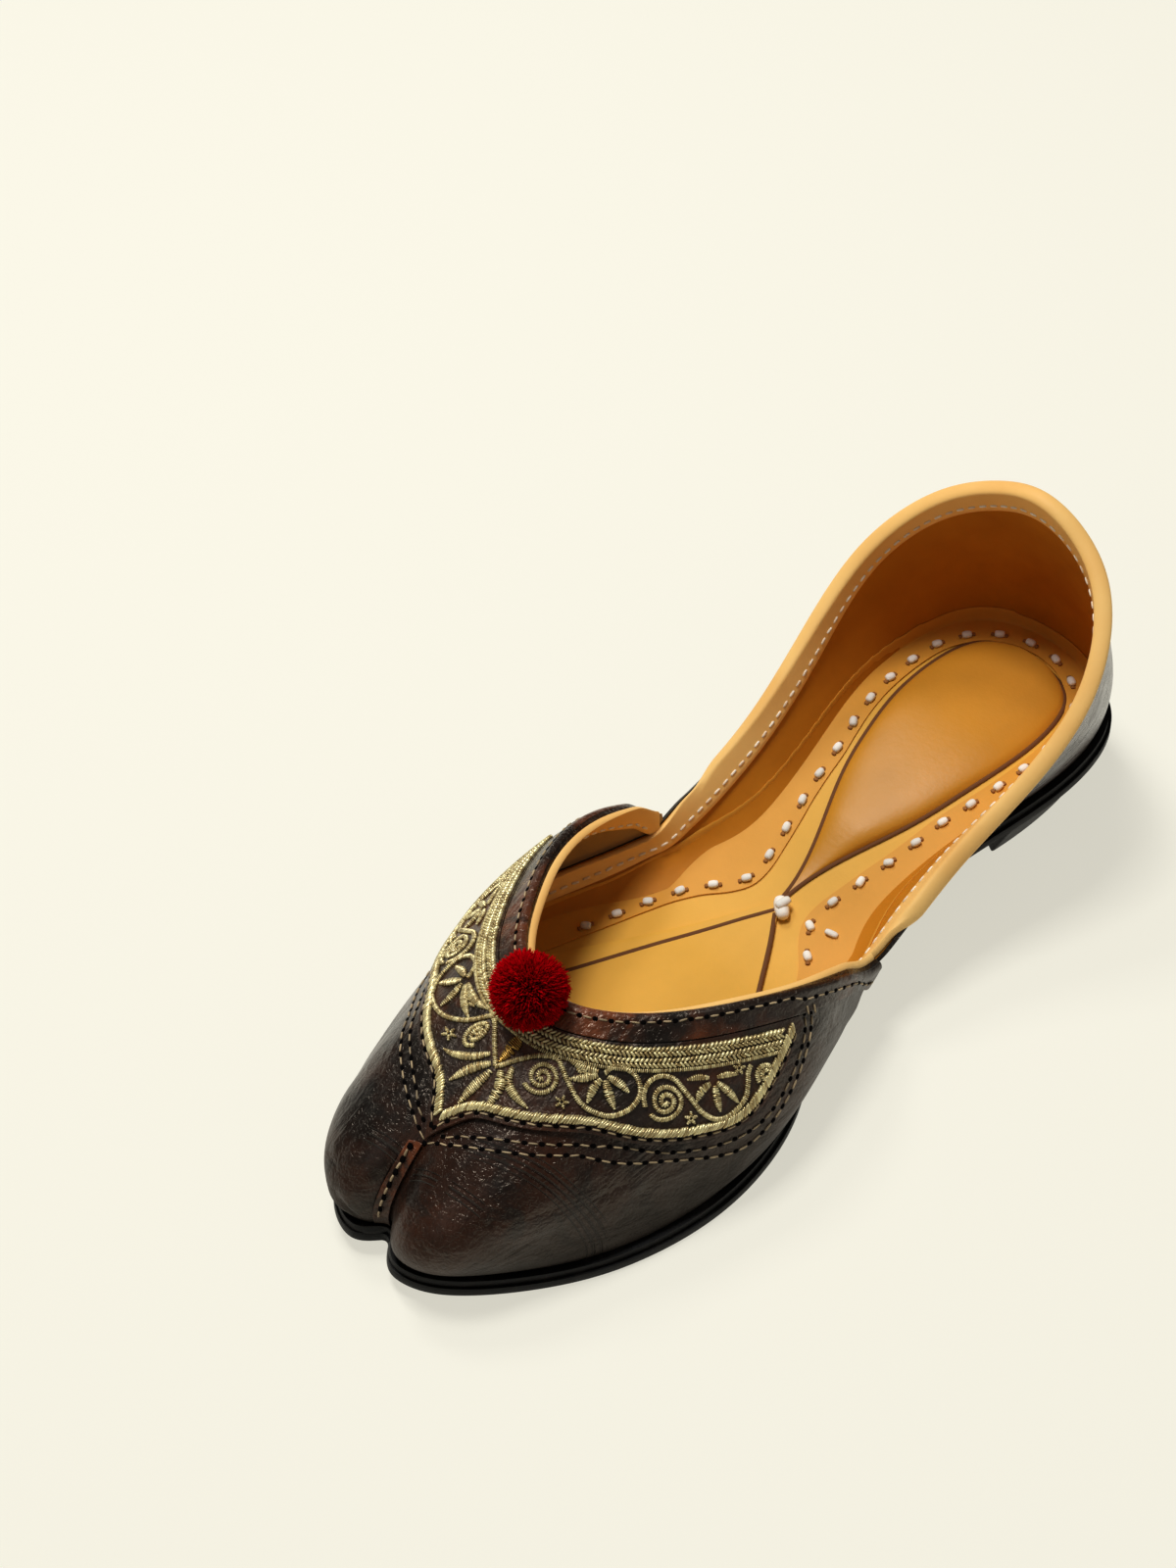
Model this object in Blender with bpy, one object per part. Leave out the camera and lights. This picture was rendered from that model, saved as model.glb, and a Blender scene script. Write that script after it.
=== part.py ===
"""A flat slip-on mojari shoe: leather outsole and heel, tan insole, hollow upper, trims and pompom."""

import math
import random

import bmesh
import bpy
import numpy as np

# Driving sizes, in metres. The toe points to -Y and the floor is at z = 0.
LENGTH = 0.2435  # outsole, back to toe
BALL_WIDTH = 0.095  # outsole, at the widest
HEEL_HEIGHT = 0.017  # floor to the outsole's underside at the seat
TOE_SPRING = 0.0045
SOLE_THICKNESS = 0.0045
INSTEP_HEIGHT = 0.0503  # floor to the middle of the throat
COUNTER_HEIGHT = 0.0845  # floor to the top of the back
WALL = 0.002  # vamp and quarters
FEATHER_SETBACK = 0.0025  # sole edge to the foot of the upper
CLEARANCE = 0.0003  # between neighbouring pieces
SHANK_FRONT = 0.132  # along the sole, where it leaves the floor
SHANK_BACK = 0.042  # along the sole, where it reaches the seat's height
TOE_LIFT_START = 0.2  # along the sole, where the toe spring begins
NOTCH_DEPTH = 0.006  # between the two lobes of the toe
NOTCH_WIDTH = 0.0045
NOTCH_START = 0.211
HEEL_LENGTH = 0.052
HEEL_BREAST = 0.006  # hollow of the heel's front face
HEEL_NARROWING = 0.76  # width at the floor over width at the seat
SOLE_STEP = 0.0007  # the upper layer of the sole's edge stands in by this
INSOLE_THICKNESS = 0.003
HEEL_PAD_THICKNESS = 0.0025
HEEL_PAD_MARGIN = 0.0075  # insole edge to pad edge, where the big stitches run
PAD_POINT = 0.1065  # along the sole, where the two pads meet
FOREFOOT_PAD_THICKNESS = 0.0008
FOREFOOT_PAD_END = 0.2
QUARTER_LIFT = 0.0004  # foot of the quarters above the foot of the vamp, where they overlap
OVERLAY = 0.001  # leather of the trims
THROAT_BAND = 0.0068
PANEL_GAP = 0.0005  # throat band to panel
FOLD_WIDTH = 0.0072  # tan lining folded over the top edges
FOLD_THICKNESS = 0.0009
FOLD_LIP = 0.0012  # lining folded over the top edge: its reach down the outside
SEAM_WIDTH = 0.0032
SEAM_HEIGHT = 0.0006
POMPOM_RADIUS = 0.0088
POMPOM_LOCK = 0.0022
POMPOM_DROP = 0.0045  # throat edge to the middle of the pompom, down the vamp
POMPOM_RISE = 0.0072  # centre of the pompom above the throat band
PAD_TAPER = 0.06  # along the sole, where the heel pad starts to narrow
FOREFOOT_PAD_SPREAD = 0.42  # half width gained for each length
LAYER_OVERLAP = 0.0007  # how far vamp and quarters are sunk into each other
WING_LIES = (0.86, 1.0)  # across the vamp, where its wings come down on the quarters
QUARTER_LIES = (0.672, 0.775)  # across the quarters, where they come to follow the vamp
WING_TIP = 0.985  # across the vamp, where its trims end
PANEL_END = 0.695  # across the vamp, where the panel runs out under the band
PANEL_POINT = 0.09  # the point in the middle of the panel's lower edge, in shares
PANEL_POINT_RUN = 0.02  # its width, across
THROAT_FOLD_TIP = 0.84
FOLD_TIP = 0.665  # across the quarters, where their folded lining meets the wings
VAMP_STEPS = 73
QUARTER_STEPS = 53
SOLE_STEPS = 49
TRIM_STEPS = 61
WELD = 1e-6

HALF = BALL_WIDTH / 2

# Edge of the outsole, from the back to the toe: along in LENGTH, out in half the ball width.
SOLE_EDGE = [
    {"along": 0.0, "out": 0.0},
    {"along": 0.012, "out": 0.312},
    {"along": 0.053, "out": 0.548},
    {"along": 0.123, "out": 0.642},
    {"along": 0.205, "out": 0.62},
    {"along": 0.287, "out": 0.525},
    {"along": 0.369, "out": 0.447},
    {"along": 0.433, "out": 0.455},
    {"along": 0.511, "out": 0.615},
    {"along": 0.585, "out": 0.853},
    {"along": 0.663, "out": 0.985},
    {"along": 0.745, "out": 0.995},
    {"along": 0.83, "out": 0.885},
    {"along": 0.908, "out": 0.675},
    {"along": 0.977, "out": 0.39},
    {"along": 0.997, "out": 0.158},
    {"along": 1.0, "out": 0.0},
]

# Sections of the vamp, from the middle of the throat to the tip of a wing. The top edge is given
# along in LENGTH, out in half the ball width and up in INSTEP_HEIGHT; foot is the share of the way
# round the sole's edge. Slope is the fall of the surface at the top edge, and reach, swell and
# rise, in INSTEP_HEIGHT, are how far it holds that slope and how it stands out over its foot.
VAMP = [
    {"along": 0.751, "out": 0.0, "up": 1.0, "foot": 1.0, "slope": 24, "reach": 0.7, "swell": 0.08, "rise": 0.28},
    {"along": 0.747, "out": 0.126, "up": 0.98, "foot": 0.953, "slope": 24, "reach": 0.7, "swell": 0.27, "rise": 0.31},
    {"along": 0.73, "out": 0.263, "up": 0.953, "foot": 0.888, "slope": 29, "reach": 0.63, "swell": 0.2, "rise": 0.26},
    {"along": 0.703, "out": 0.4, "up": 0.927, "foot": 0.8125, "slope": 34, "reach": 0.55, "swell": 0.06, "rise": 0.23},
    {"along": 0.665, "out": 0.541, "up": 0.903, "foot": 0.733, "slope": 42, "reach": 0.47, "swell": 0.02, "rise": 0.25},
    {"along": 0.618, "out": 0.669, "up": 0.87, "foot": 0.657, "slope": 50, "reach": 0.42, "swell": 0.16, "rise": 0.2},
    {"along": 0.556, "out": 0.762, "up": 0.768, "foot": 0.576, "slope": 63, "reach": 0.29, "swell": 0.24, "rise": 0.26},
    {"along": 0.496, "out": 0.783, "up": 0.605, "foot": 0.4965, "slope": 100, "reach": 0.16, "swell": 0.38, "rise": 0.12},
    {"along": 0.4435, "out": 0.765, "up": 0.418, "foot": 0.434, "slope": 120, "reach": 0.13, "swell": 0.148, "rise": 0.08},
]

# Sections of the quarters, from the back seam to their front ends inside the vamp, in the same
# terms, except that heights are in COUNTER_HEIGHT.
QUARTER = [
    {"along": 0.059, "out": 0.0, "up": 1.0, "foot": 0.0, "slope": 78, "reach": 0.31, "swell": 0.047, "rise": 0.19},
    {"along": 0.063, "out": 0.295, "up": 0.948, "foot": 0.061, "slope": 80, "reach": 0.31, "swell": 0.047, "rise": 0.19},
    {"along": 0.094, "out": 0.579, "up": 0.858, "foot": 0.1245, "slope": 84, "reach": 0.28, "swell": 0.047, "rise": 0.18},
    {"along": 0.158, "out": 0.768, "up": 0.711, "foot": 0.191, "slope": 92, "reach": 0.21, "swell": 0.05, "rise": 0.14},
    {"along": 0.239, "out": 0.777, "up": 0.542, "foot": 0.274, "slope": 110, "reach": 0.14, "swell": 0.06, "rise": 0.08},
    {"along": 0.328, "out": 0.722, "up": 0.395, "foot": 0.367, "slope": 125, "reach": 0.11, "swell": 0.075, "rise": 0.05},
    {"along": 0.416, "out": 0.728, "up": 0.277, "foot": 0.426, "slope": 130, "reach": 0.09, "swell": 0.13, "rise": 0.035},
    {"along": 0.508, "out": 0.76, "up": 0.212, "foot": 0.4985, "slope": 110, "reach": 0.07, "swell": 0.17, "rise": 0.035},
    {"along": 0.603, "out": 0.762, "up": 0.202, "foot": 0.584, "slope": 85, "reach": 0.06, "swell": 0.1, "rise": 0.045},
    {"along": 0.689, "out": 0.735, "up": 0.214, "foot": 0.653, "slope": 80, "reach": 0.06, "swell": 0.05, "rise": 0.045},
]

# Lower edge of the embroidered panel, at even steps from the middle of the vamp to the panel's end:
# the share of the way from the throat to the foot.
PANEL_EDGE = [0.4, 0.345, 0.305, 0.297, 0.305, 0.33, 0.37, 0.42, 0.47, 0.5, 0.475, 0.335, 0.195]

# Leather colours: base colour, roughness.
MATERIALS = {
    "sole_leather": ((0.02, 0.017, 0.016), 0.55),
    "brown_leather": ((0.055, 0.022, 0.013), 0.38),
    "tan_leather": ((0.72, 0.4, 0.15), 0.5),
    "tan_lining": ((0.6, 0.3, 0.11), 0.55),
    "embroidered_leather": ((0.35, 0.24, 0.09), 0.45),
    "red_wool": ((0.35, 0.004, 0.012), 0.95),
}


def clear_scene():
    for thing in list(bpy.data.objects):
        bpy.data.objects.remove(thing, do_unlink=True)


def material(name):
    colour, roughness = MATERIALS[name]
    made = bpy.data.materials.get(name)
    if made is None:
        made = bpy.data.materials.new(name)
        made.use_nodes = True
        shader = made.node_tree.nodes["Principled BSDF"]
        shader.inputs["Base Color"].default_value = (*colour, 1)
        shader.inputs["Roughness"].default_value = roughness
    return made


def ease(share):
    share = np.clip(share, 0, 1)
    return share * share * (3 - 2 * share)


def columns(rows, names, scales):
    return np.array([[row[name] * scale for name, scale in zip(names, scales)] for row in rows])


def spline(table, odd, closed=False):
    """Natural cubic through the rows, as a function of the row number. The curve is mirrored at
    its first row, and at its last when it is closed, and its odd columns turn over there."""
    mirror = np.ones(table.shape[1])
    mirror[odd] = -1
    keep = np.where(mirror < 0, 2.0, 0.0)
    before = (table[0] * keep + table[1:] * mirror)[::-1]
    after = (table[-1] * keep + table[:-1] * mirror)[::-1] if closed else table[:0]
    rows = np.concatenate([before, table, after])
    count = len(rows)
    system = np.eye(count)
    right = np.zeros_like(rows)
    for row in range(1, count - 1):
        system[row, row - 1 : row + 2] = 1, 4, 1
        right[row] = 6 * (rows[row - 1] - 2 * rows[row] + rows[row + 1])
    bend = np.linalg.solve(system, right)

    def at(place):
        place = np.asarray(place) + len(before)
        low = np.clip(np.floor(place).astype(int), 0, count - 2)
        past = (place - low)[..., None]
        left = 1 - past
        curve = (left**3 - left) * bend[low] + (past**3 - past) * bend[low + 1]
        return left * rows[low] + past * rows[low + 1] + curve / 6

    return at


def unit(vectors):
    return vectors / np.linalg.norm(vectors, axis=-1, keepdims=True)


def underside(along):
    """Height of the outsole's underside above the floor."""
    seat = HEEL_HEIGHT * ease((SHANK_FRONT - along) / (SHANK_FRONT - SHANK_BACK))
    toe = np.clip((along - TOE_LIFT_START) / (LENGTH - TOE_LIFT_START), 0, None)
    return seat + TOE_SPRING * toe**2


def sole_top(along):
    return underside(along) + SOLE_THICKNESS


def notched(points):
    """Draws the middle of the toe back between its two lobes."""
    out, along = points[..., 0], points[..., 1]
    near = ease((along - NOTCH_START) / (LENGTH - NOTCH_START))
    drawn = points.copy()
    drawn[..., 1] = along - NOTCH_DEPTH * np.exp(-((out / NOTCH_WIDTH) ** 2)) * near
    return drawn


class SoleEdge:
    """Outline of the outsole: a point and its outward normal at a share of the way round."""

    def __init__(self, samples=1500):
        table = columns(SOLE_EDGE, ("out", "along"), (HALF, LENGTH))
        place = np.linspace(0, len(table) - 1, samples)
        self.points = spline(table, [0], closed=True)(place)
        steps = np.linalg.norm(np.diff(self.points, axis=0), axis=1)
        self.share = np.concatenate([[0], np.cumsum(steps)]) / steps.sum()
        run = np.gradient(self.points, axis=0)
        self.normals = unit(np.stack([run[:, 1], -run[:, 0]], axis=1))
        self.points[[0, -1], 0] = 0
        self.normals[[0, -1]] = (0, -1), (0, 1)

    def at(self, share, inset=0.0):
        point = [np.interp(share, self.share, self.points[:, k]) for k in (0, 1)]
        normal = [np.interp(share, self.share, self.normals[:, k]) for k in (0, 1)]
        normal = unit(np.stack(normal, -1))
        return np.stack(point, -1) - normal * np.asarray(inset)[..., None], normal


EDGE = SoleEdge()


class Skin:
    """Outer surface of the vamp or the quarters. Across runs from -1 to 1, with 0 in the middle,
    and down from 0 at the open top edge to 1 at the foot."""

    def __init__(self, rows, height, lies, facing):
        names = ("out", "along", "up", "foot", "slope", "reach", "swell", "rise")
        scales = (HALF, LENGTH, height, 1, math.pi / 180, height, height, height)
        table = columns(rows, names, scales)
        table[:, 3] -= table[0, 3]
        self.start = rows[0]["foot"]
        self.curve = spline(table, [0, 3])
        self.last = len(rows) - 1
        self.lies = lies
        self.facing = facing
        self.other = None
        across = np.linspace(0, 1, 401)
        self.across_table = across
        self.foot_table = self.foot_share(across)

    def foot_share(self, across):
        return np.clip(self.start + self.curve(np.abs(across) * self.last)[..., 3], 0, 1)

    def across_at(self, foot):
        """Where across the skin its foot is at a share of the way round the sole's edge."""
        order = np.argsort(self.foot_table)
        return np.interp(foot, self.foot_table[order], self.across_table[order])

    def free_section(self, across, down):
        values = self.curve(np.abs(across) * self.last)
        spot, out = EDGE.at(self.foot_share(across), FEATHER_SETBACK + 0 * across)
        spot = np.stack([spot[..., 0], spot[..., 1], sole_top(spot[..., 1]) + CLEARANCE], -1)
        outward = np.stack([out[..., 0], out[..., 1], 0 * across], -1)
        slope, reach, swell, rise = (values[..., k, None] for k in (4, 5, 6, 7))
        upward = np.array([0, 0, 1.0])
        top = values[..., 0:3]
        shoulder = top + reach * (outward * np.cos(slope) - upward * np.sin(slope))
        cheek = spot + swell * outward + rise * upward
        down = down[..., None]
        up = 1 - down
        curve = up**3 * top + 3 * up**2 * down * shoulder
        curve = curve + 3 * up * down**2 * cheek + down**3 * spot
        curve[..., 0] *= np.where(across < 0, -1.0, 1.0)
        return curve

    def section(self, across, down):
        """The free section, except where it comes to lie against the other skin."""
        across, down = np.broadcast_arrays(np.asarray(across, float), np.asarray(down, float))
        free = self.free_section(across, down)
        share = (np.abs(across) - self.lies[0]) / (self.lies[1] - self.lies[0])
        if self.other is None or not (share > 0).any():
            return free
        side = np.where(across < 0, -1.0, 1.0)
        matched = self.other.across_at(self.foot_share(across)) * side
        level = down if self.outside else self.matched_level(across, matched, down)
        away = WALL - LAYER_OVERLAP
        lying = self.other.free_raised(matched, level, away if self.outside else -away)
        if not self.outside:
            lying[..., 2] += QUARTER_LIFT * down**4
        weight = ease(share)[..., None]
        return free * (1 - weight) + lying * weight

    def floor(self, across, points):
        """Lowest height of the skin's foot, clear of the outsole and, inside, of the vamp's."""
        share = (np.abs(across) - self.lies[0]) / (self.lies[1] - self.lies[0])
        lift = 0 if self.outside else QUARTER_LIFT * ease(share)
        return sole_top(points[..., 1]) + CLEARANCE + lift

    def matched_level(self, across, matched, down):
        """Shares down the other skin that start at this skin's own height."""
        top = self.curve(np.abs(across) * self.last)[..., 2]
        levels = np.linspace(0, 1, 61)
        flat = np.abs(matched).ravel()
        start = [
            np.interp(-height, -self.other.free_section(np.full(61, one), levels)[:, 2], levels)
            for one, height in zip(flat, top.ravel())
        ]
        start = np.array(start).reshape(np.shape(matched))
        return start + (1 - start) * down

    def normals_of(self, surface, across, down):
        step = 1e-3
        aside = surface(across + step, down) - surface(across - step, down)
        low, high = np.maximum(down - step, 0), np.minimum(down + step, 1)
        return unit(np.cross(surface(across, high) - surface(across, low), aside)) * self.facing

    def free_raised(self, across, down, height):
        normal = self.normals_of(self.free_section, across, down)
        return self.free_section(across, down) + normal * height

    def raised(self, across, down, height):
        across, down = np.broadcast_arrays(np.asarray(across, float), np.asarray(down, float))
        inner = np.clip(across, -0.999, 0.999)
        normal = self.normals_of(self.section, inner, down)
        points = self.section(across, down) + normal * np.asarray(height)[..., None]
        points[..., 2] = np.maximum(points[..., 2], self.floor(across, points))
        return points

    def down_at(self, across, distance):
        """How far down, as a share, a distance along the section from the top edge is."""
        across, distance = np.broadcast_arrays(across, distance)
        steps = np.linspace(0, 1, 61)
        found = []
        for one, far in zip(across.ravel(), distance.ravel()):
            line = self.section(np.full(61, one), steps)
            run = np.cumsum(np.linalg.norm(np.diff(line, axis=0), axis=1))
            found.append(np.interp(far, np.concatenate([[0], run]), steps))
        return np.array(found).reshape(distance.shape)

    def beside(self, across, distance, height):
        """Points a distance below the top edge and a height off the skin. A negative distance
        is above the edge, straight on."""
        across, distance = np.broadcast_arrays(np.asarray(across, float), distance)
        down = self.down_at(across, np.maximum(distance, 0))
        points = self.raised(across, down, height)
        rise = unit(self.section(across, 0 * across) - self.section(across, 0 * across + 0.03))
        return points + rise * np.maximum(-distance, 0)[..., None]


QUARTERS = Skin(QUARTER, COUNTER_HEIGHT, QUARTER_LIES, 1)
VAMP_SKIN = Skin(VAMP, INSTEP_HEIGHT, WING_LIES, -1)
QUARTERS.other, QUARTERS.outside = VAMP_SKIN, False
VAMP_SKIN.other, VAMP_SKIN.outside = QUARTERS, True


def in_frame(points):
    """From out, along and up to the part's own frame, whose origin is under its middle."""
    points = notched(points)
    return np.stack([points[..., 0], MIDDLE - points[..., 1], points[..., 2]], -1)


MIDDLE = notched(EDGE.points)[:, 1].max() / 2


def solid(name, front, back, finish, smooth=40):
    """A closed solid between two grids of points, each in out, along and up."""
    rows, width = front.shape[:2]
    mesh = bmesh.new()
    faces = [
        [[mesh.verts.new(point) for point in line] for line in in_frame(grid)]
        for grid in (front, back)
    ]
    near, far = faces
    for i in range(rows - 1):
        for j in range(width - 1):
            mesh.faces.new((near[i][j], near[i][j + 1], near[i + 1][j + 1], near[i + 1][j]))
            mesh.faces.new((far[i][j], far[i + 1][j], far[i + 1][j + 1], far[i][j + 1]))
    for i in range(rows - 1):
        for j in (0, width - 1):
            mesh.faces.new((near[i][j], near[i + 1][j], far[i + 1][j], far[i][j]))
    for i in (0, rows - 1):
        if max(np.ptp(front[i, :, 0]), np.ptp(back[i, :, 0])) < WELD:
            continue
        for j in range(width - 1):
            mesh.faces.new((near[i][j], near[i][j + 1], far[i][j + 1], far[i][j]))
    bmesh.ops.remove_doubles(mesh, verts=mesh.verts, dist=WELD)
    bmesh.ops.recalc_face_normals(mesh, faces=mesh.faces)
    made = bpy.data.meshes.new(name)
    mesh.to_mesh(made)
    mesh.free()
    made.shade_smooth()
    made.set_sharp_from_angle(angle=math.radians(smooth))
    thing = bpy.data.objects.new(name, made)
    thing.data.materials.append(material(finish))
    bpy.context.scene.collection.objects.link(thing)
    return thing


def grid(first, second):
    return np.meshgrid(first, second, indexing="ij")


def bunched(count, power=1.0):
    """Shares from 0 to 1 that lie closer together at both ends."""
    share = np.linspace(0, 1, count)
    return (1 - power) * share + power * (1 - np.cos(math.pi * share)) / 2


def upper():
    """Vamp and quarters, stitched together where the wings lie on the quarters."""
    even = np.linspace(-1, 1, VAMP_STEPS)
    across, down = grid(even * (0.55 + 0.45 * even**2), bunched(13, 0.3))
    vamp = solid(
        "upper",
        VAMP_SKIN.raised(across, down, 0.0),
        VAMP_SKIN.raised(across, down, -WALL),
        "brown_leather",
    )
    across, down = grid(np.linspace(-1, 1, QUARTER_STEPS), np.linspace(0, 1, 10))
    quarters = solid(
        "quarters_form",
        QUARTERS.raised(across, down, 0.0),
        QUARTERS.raised(across, down, -WALL),
        "brown_leather",
    )
    quarters.hide_render = True
    quarters.display_type = "WIRE"
    joined = vamp.modifiers.new("stitched", "BOOLEAN")
    joined.operation = "UNION"
    joined.object = quarters
    return vamp


def plate(name, shares, inset_top, inset_bottom, top, bottom, finish, levels=(1, 0.5, 0)):
    """A flat piece with the sole's outline: its top and bottom follow heights along the shoe."""
    width = np.array([*levels, *[-level for level in levels[-2::-1]]])
    sheets = []
    for inset, height in ((inset_top, top), (inset_bottom, bottom)):
        line, _ = EDGE.at(shares, inset(shares))
        out = np.maximum(line[:, 0], 0)[:, None] * width
        along = line[:, 1][:, None] + 0 * width
        sheets.append(np.stack([out, along, height(along, out)], -1))
    return solid(name, *sheets, finish)


def outsole():
    shares = bunched(SOLE_STEPS, 0.6)
    line, _ = EDGE.at(shares)
    inner, _ = EDGE.at(shares, SOLE_STEP)
    layer = SOLE_THICKNESS / 2

    def strip(out_along, up):
        return np.stack([out_along[:, 0], out_along[:, 1], up(out_along[:, 1])], -1)

    over = [
        strip(line, lambda along: underside(along) + layer),
        strip(inner, lambda along: underside(along) + layer + SOLE_STEP / 2),
        strip(inner, sole_top),
        strip(inner * (0.5, 1), sole_top),
        strip(inner * (0, 1), sole_top),
    ]
    under = [
        strip(line, lambda along: underside(along) + SOLE_STEP),
        strip(inner, underside),
        strip(inner * (0.75, 1), underside),
        strip(inner * (0.4, 1), underside),
        strip(inner * (0, 1), underside),
    ]
    other = np.array([-1, 1, 1])
    sheets = [
        np.stack(side + [strip_ * other for strip_ in side[-2::-1]], axis=1)
        for side in (over, under)
    ]
    return solid("outsole", *sheets, "sole_leather")


def heel():
    """A low block under the seat, narrower at the floor, with a hollow breast."""
    share, width = grid(bunched(14, 0.7), np.linspace(-1, 1, 9))
    front = HEEL_LENGTH - HEEL_BREAST * (1 - width**2)
    along = SOLE_STEP + share * (front - SOLE_STEP)
    half = int(np.argmax(EDGE.points[:, 1] > SHANK_FRONT))
    reach = np.interp(along, EDGE.points[:half, 1], EDGE.points[:half, 0]) - SOLE_STEP
    reach = np.maximum(reach, 0) * width
    top = np.stack([reach, along, underside(along) - CLEARANCE], -1)
    foot = np.stack([reach * HEEL_NARROWING, along, 0 * along], -1)
    return solid("heel", top, foot, "sole_leather")


def cavity_line(shares, height):
    """How far in from the sole's edge the inside of the upper stands, below a height."""
    down = np.linspace(0.4, 1, 24)
    edge, out = EDGE.at(shares)
    found = np.full(len(shares), FEATHER_SETBACK)
    for skin in (QUARTERS, VAMP_SKIN):
        side, level = grid(skin.across_at(shares), down)
        wall = skin.raised(side, level, -WALL - CLEARANCE)
        depth = ((edge[:, None, :] - wall[..., :2]) * out[:, None, :]).sum(-1)
        low = wall[..., 2] <= sole_top(wall[..., 1]) + height
        depth = np.where(low, depth, 0).max(axis=1)
        there = (shares >= skin.foot_table.min() - 0.01) & (shares <= skin.foot_table.max() + 0.01)
        found = np.maximum(found, np.where(there, depth, 0))
    return found


def insole_inset(shares):
    return cavity_line(shares, INSOLE_THICKNESS + 4 * CLEARANCE) + CLEARANCE


def insole_top(along, out=0.0):
    return sole_top(along) + CLEARANCE + INSOLE_THICKNESS + 0 * out


def insole():
    return plate(
        "insole",
        bunched(44, 0.6),
        insole_inset,
        insole_inset,
        insole_top,
        lambda along, out: insole_top(along) - INSOLE_THICKNESS,
        "tan_leather",
    )


def heel_pad():
    """A soft pear-shaped pad: round at the back, drawn out to a point over the shank."""
    along_share, width = grid(bunched(20, 0.7), np.linspace(-1, 1, 9))
    shares = np.linspace(0, 0.6, 200)
    line, _ = EDGE.at(shares, insole_inset(shares) + HEEL_PAD_MARGIN)
    back = line[0, 1]
    line = line[np.argsort(line[:, 1])]
    line = line[line[:, 1] >= back]
    along = back + along_share * (PAD_POINT - CLEARANCE - back)
    half = np.interp(along, line[:, 1], np.maximum(line[:, 0], 0)) * (along_share > 0)
    taper = 1 - ease((along - PAD_TAPER) / (PAD_POINT - PAD_TAPER)) ** 1.5
    out = half * taper * width
    base = insole_top(along) + CLEARANCE
    full = ease(half * taper / HEEL_PAD_MARGIN)
    crown = HEEL_PAD_THICKNESS * (0.35 + full * (0.65 - 0.45 * width**4))
    return solid(
        "heel_pad",
        np.stack([out, along, base + crown], -1),
        np.stack([out, along, base], -1),
        "tan_leather",
    )


def forefoot_pad():
    """The thin cover of the forefoot, cut to a V whose point meets the heel pad's."""
    along_share, width = grid(bunched(16, 0.3), np.linspace(-1, 1, 7))
    along = PAD_POINT + CLEARANCE + along_share * (FOREFOOT_PAD_END - PAD_POINT)
    shares = np.linspace(0.3, 0.95, 400)
    line, _ = EDGE.at(shares, insole_inset(shares) + CLEARANCE)
    limit = np.interp(along, line[:, 1], line[:, 0])
    spread = (along - PAD_POINT) * FOREFOOT_PAD_SPREAD
    out = np.minimum(spread, limit) * width
    base = insole_top(along) + CLEARANCE
    return solid(
        "forefoot_pad",
        np.stack([out, along, base + FOREFOOT_PAD_THICKNESS], -1),
        np.stack([out, along, base], -1),
        "tan_leather",
    )


def trim(name, skin, across, distances, heights, finish):
    """A strip along the top edge. Distances and heights hold one value for each point of its
    face and of its back, or one line of them for each step across."""
    sheets = []
    for distance, height in zip(distances, heights):
        side = across[:, None] + 0 * distance
        sheets.append(skin.beside(side, distance + 0 * side, height + 0 * side))
    return solid(name, *sheets, finish)


def throat_band():
    across = np.linspace(-WING_TIP, WING_TIP, TRIM_STEPS)
    distance = np.linspace(0.0003, THROAT_BAND, 4)
    return trim(
        "throat_band",
        VAMP_SKIN,
        across,
        (distance, distance),
        (CLEARANCE + OVERLAY + 0 * distance, CLEARANCE + 0 * distance),
        "brown_leather",
    )


def panel_edge(across):
    """Share down the vamp of the panel's lower edge."""
    edge = spline(np.array(PANEL_EDGE)[:, None], [])
    out = np.abs(across)
    return edge(out / PANEL_END * (len(PANEL_EDGE) - 1))[..., 0] + PANEL_POINT * np.exp(
        -out / PANEL_POINT_RUN
    )


def embroidered_panel():
    across = np.linspace(-PANEL_END, PANEL_END, TRIM_STEPS)
    start = VAMP_SKIN.down_at(across, 0 * across + THROAT_BAND + PANEL_GAP)
    depth = np.maximum(panel_edge(across) - start, 0.01)
    down = start[:, None] + depth[:, None] * np.linspace(0, 1, 9)
    side = across[:, None] + 0 * down
    return solid(
        "embroidered_panel",
        VAMP_SKIN.raised(side, down, CLEARANCE + OVERLAY),
        VAMP_SKIN.raised(side, down, CLEARANCE),
        "embroidered_leather",
    )


def fold(name, skin, across, lip):
    """The tan lining, brought over the top edge and down the inside. Each line holds a distance
    below the top edge, and the heights of the fold's face and back off the skin."""
    gap, full = CLEARANCE, CLEARANCE + FOLD_THICKNESS
    outside = [(FOLD_LIP, FOLD_LIP, full * 0.7, gap), (0.0003, 0.0003, full, gap)]
    over = [
        (-full * 0.7, -gap * 0.9, full * 0.4, gap * 0.6),
        (-full, -gap, -WALL / 2, -WALL / 2),
        (-full * 0.7, -gap * 0.9, -WALL - full * 0.4, -WALL - gap * 0.6),
    ]
    inside = [
        (far, far, -WALL - full, -WALL - gap) for far in (0.0005, FOLD_WIDTH / 2, FOLD_WIDTH)
    ]
    line = np.array((outside if lip else []) + over + inside)
    return trim(
        name, skin, across, (line[:, 0], line[:, 1]), (line[:, 2], line[:, 3]), "tan_lining"
    )


def topline_fold():
    across = np.linspace(-FOLD_TIP, FOLD_TIP, TRIM_STEPS)
    return fold("topline_fold", QUARTERS, across, True)


def throat_fold():
    across = np.linspace(-THROAT_FOLD_TIP, THROAT_FOLD_TIP, TRIM_STEPS)
    return fold("throat_fold", VAMP_SKIN, across, False)


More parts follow.
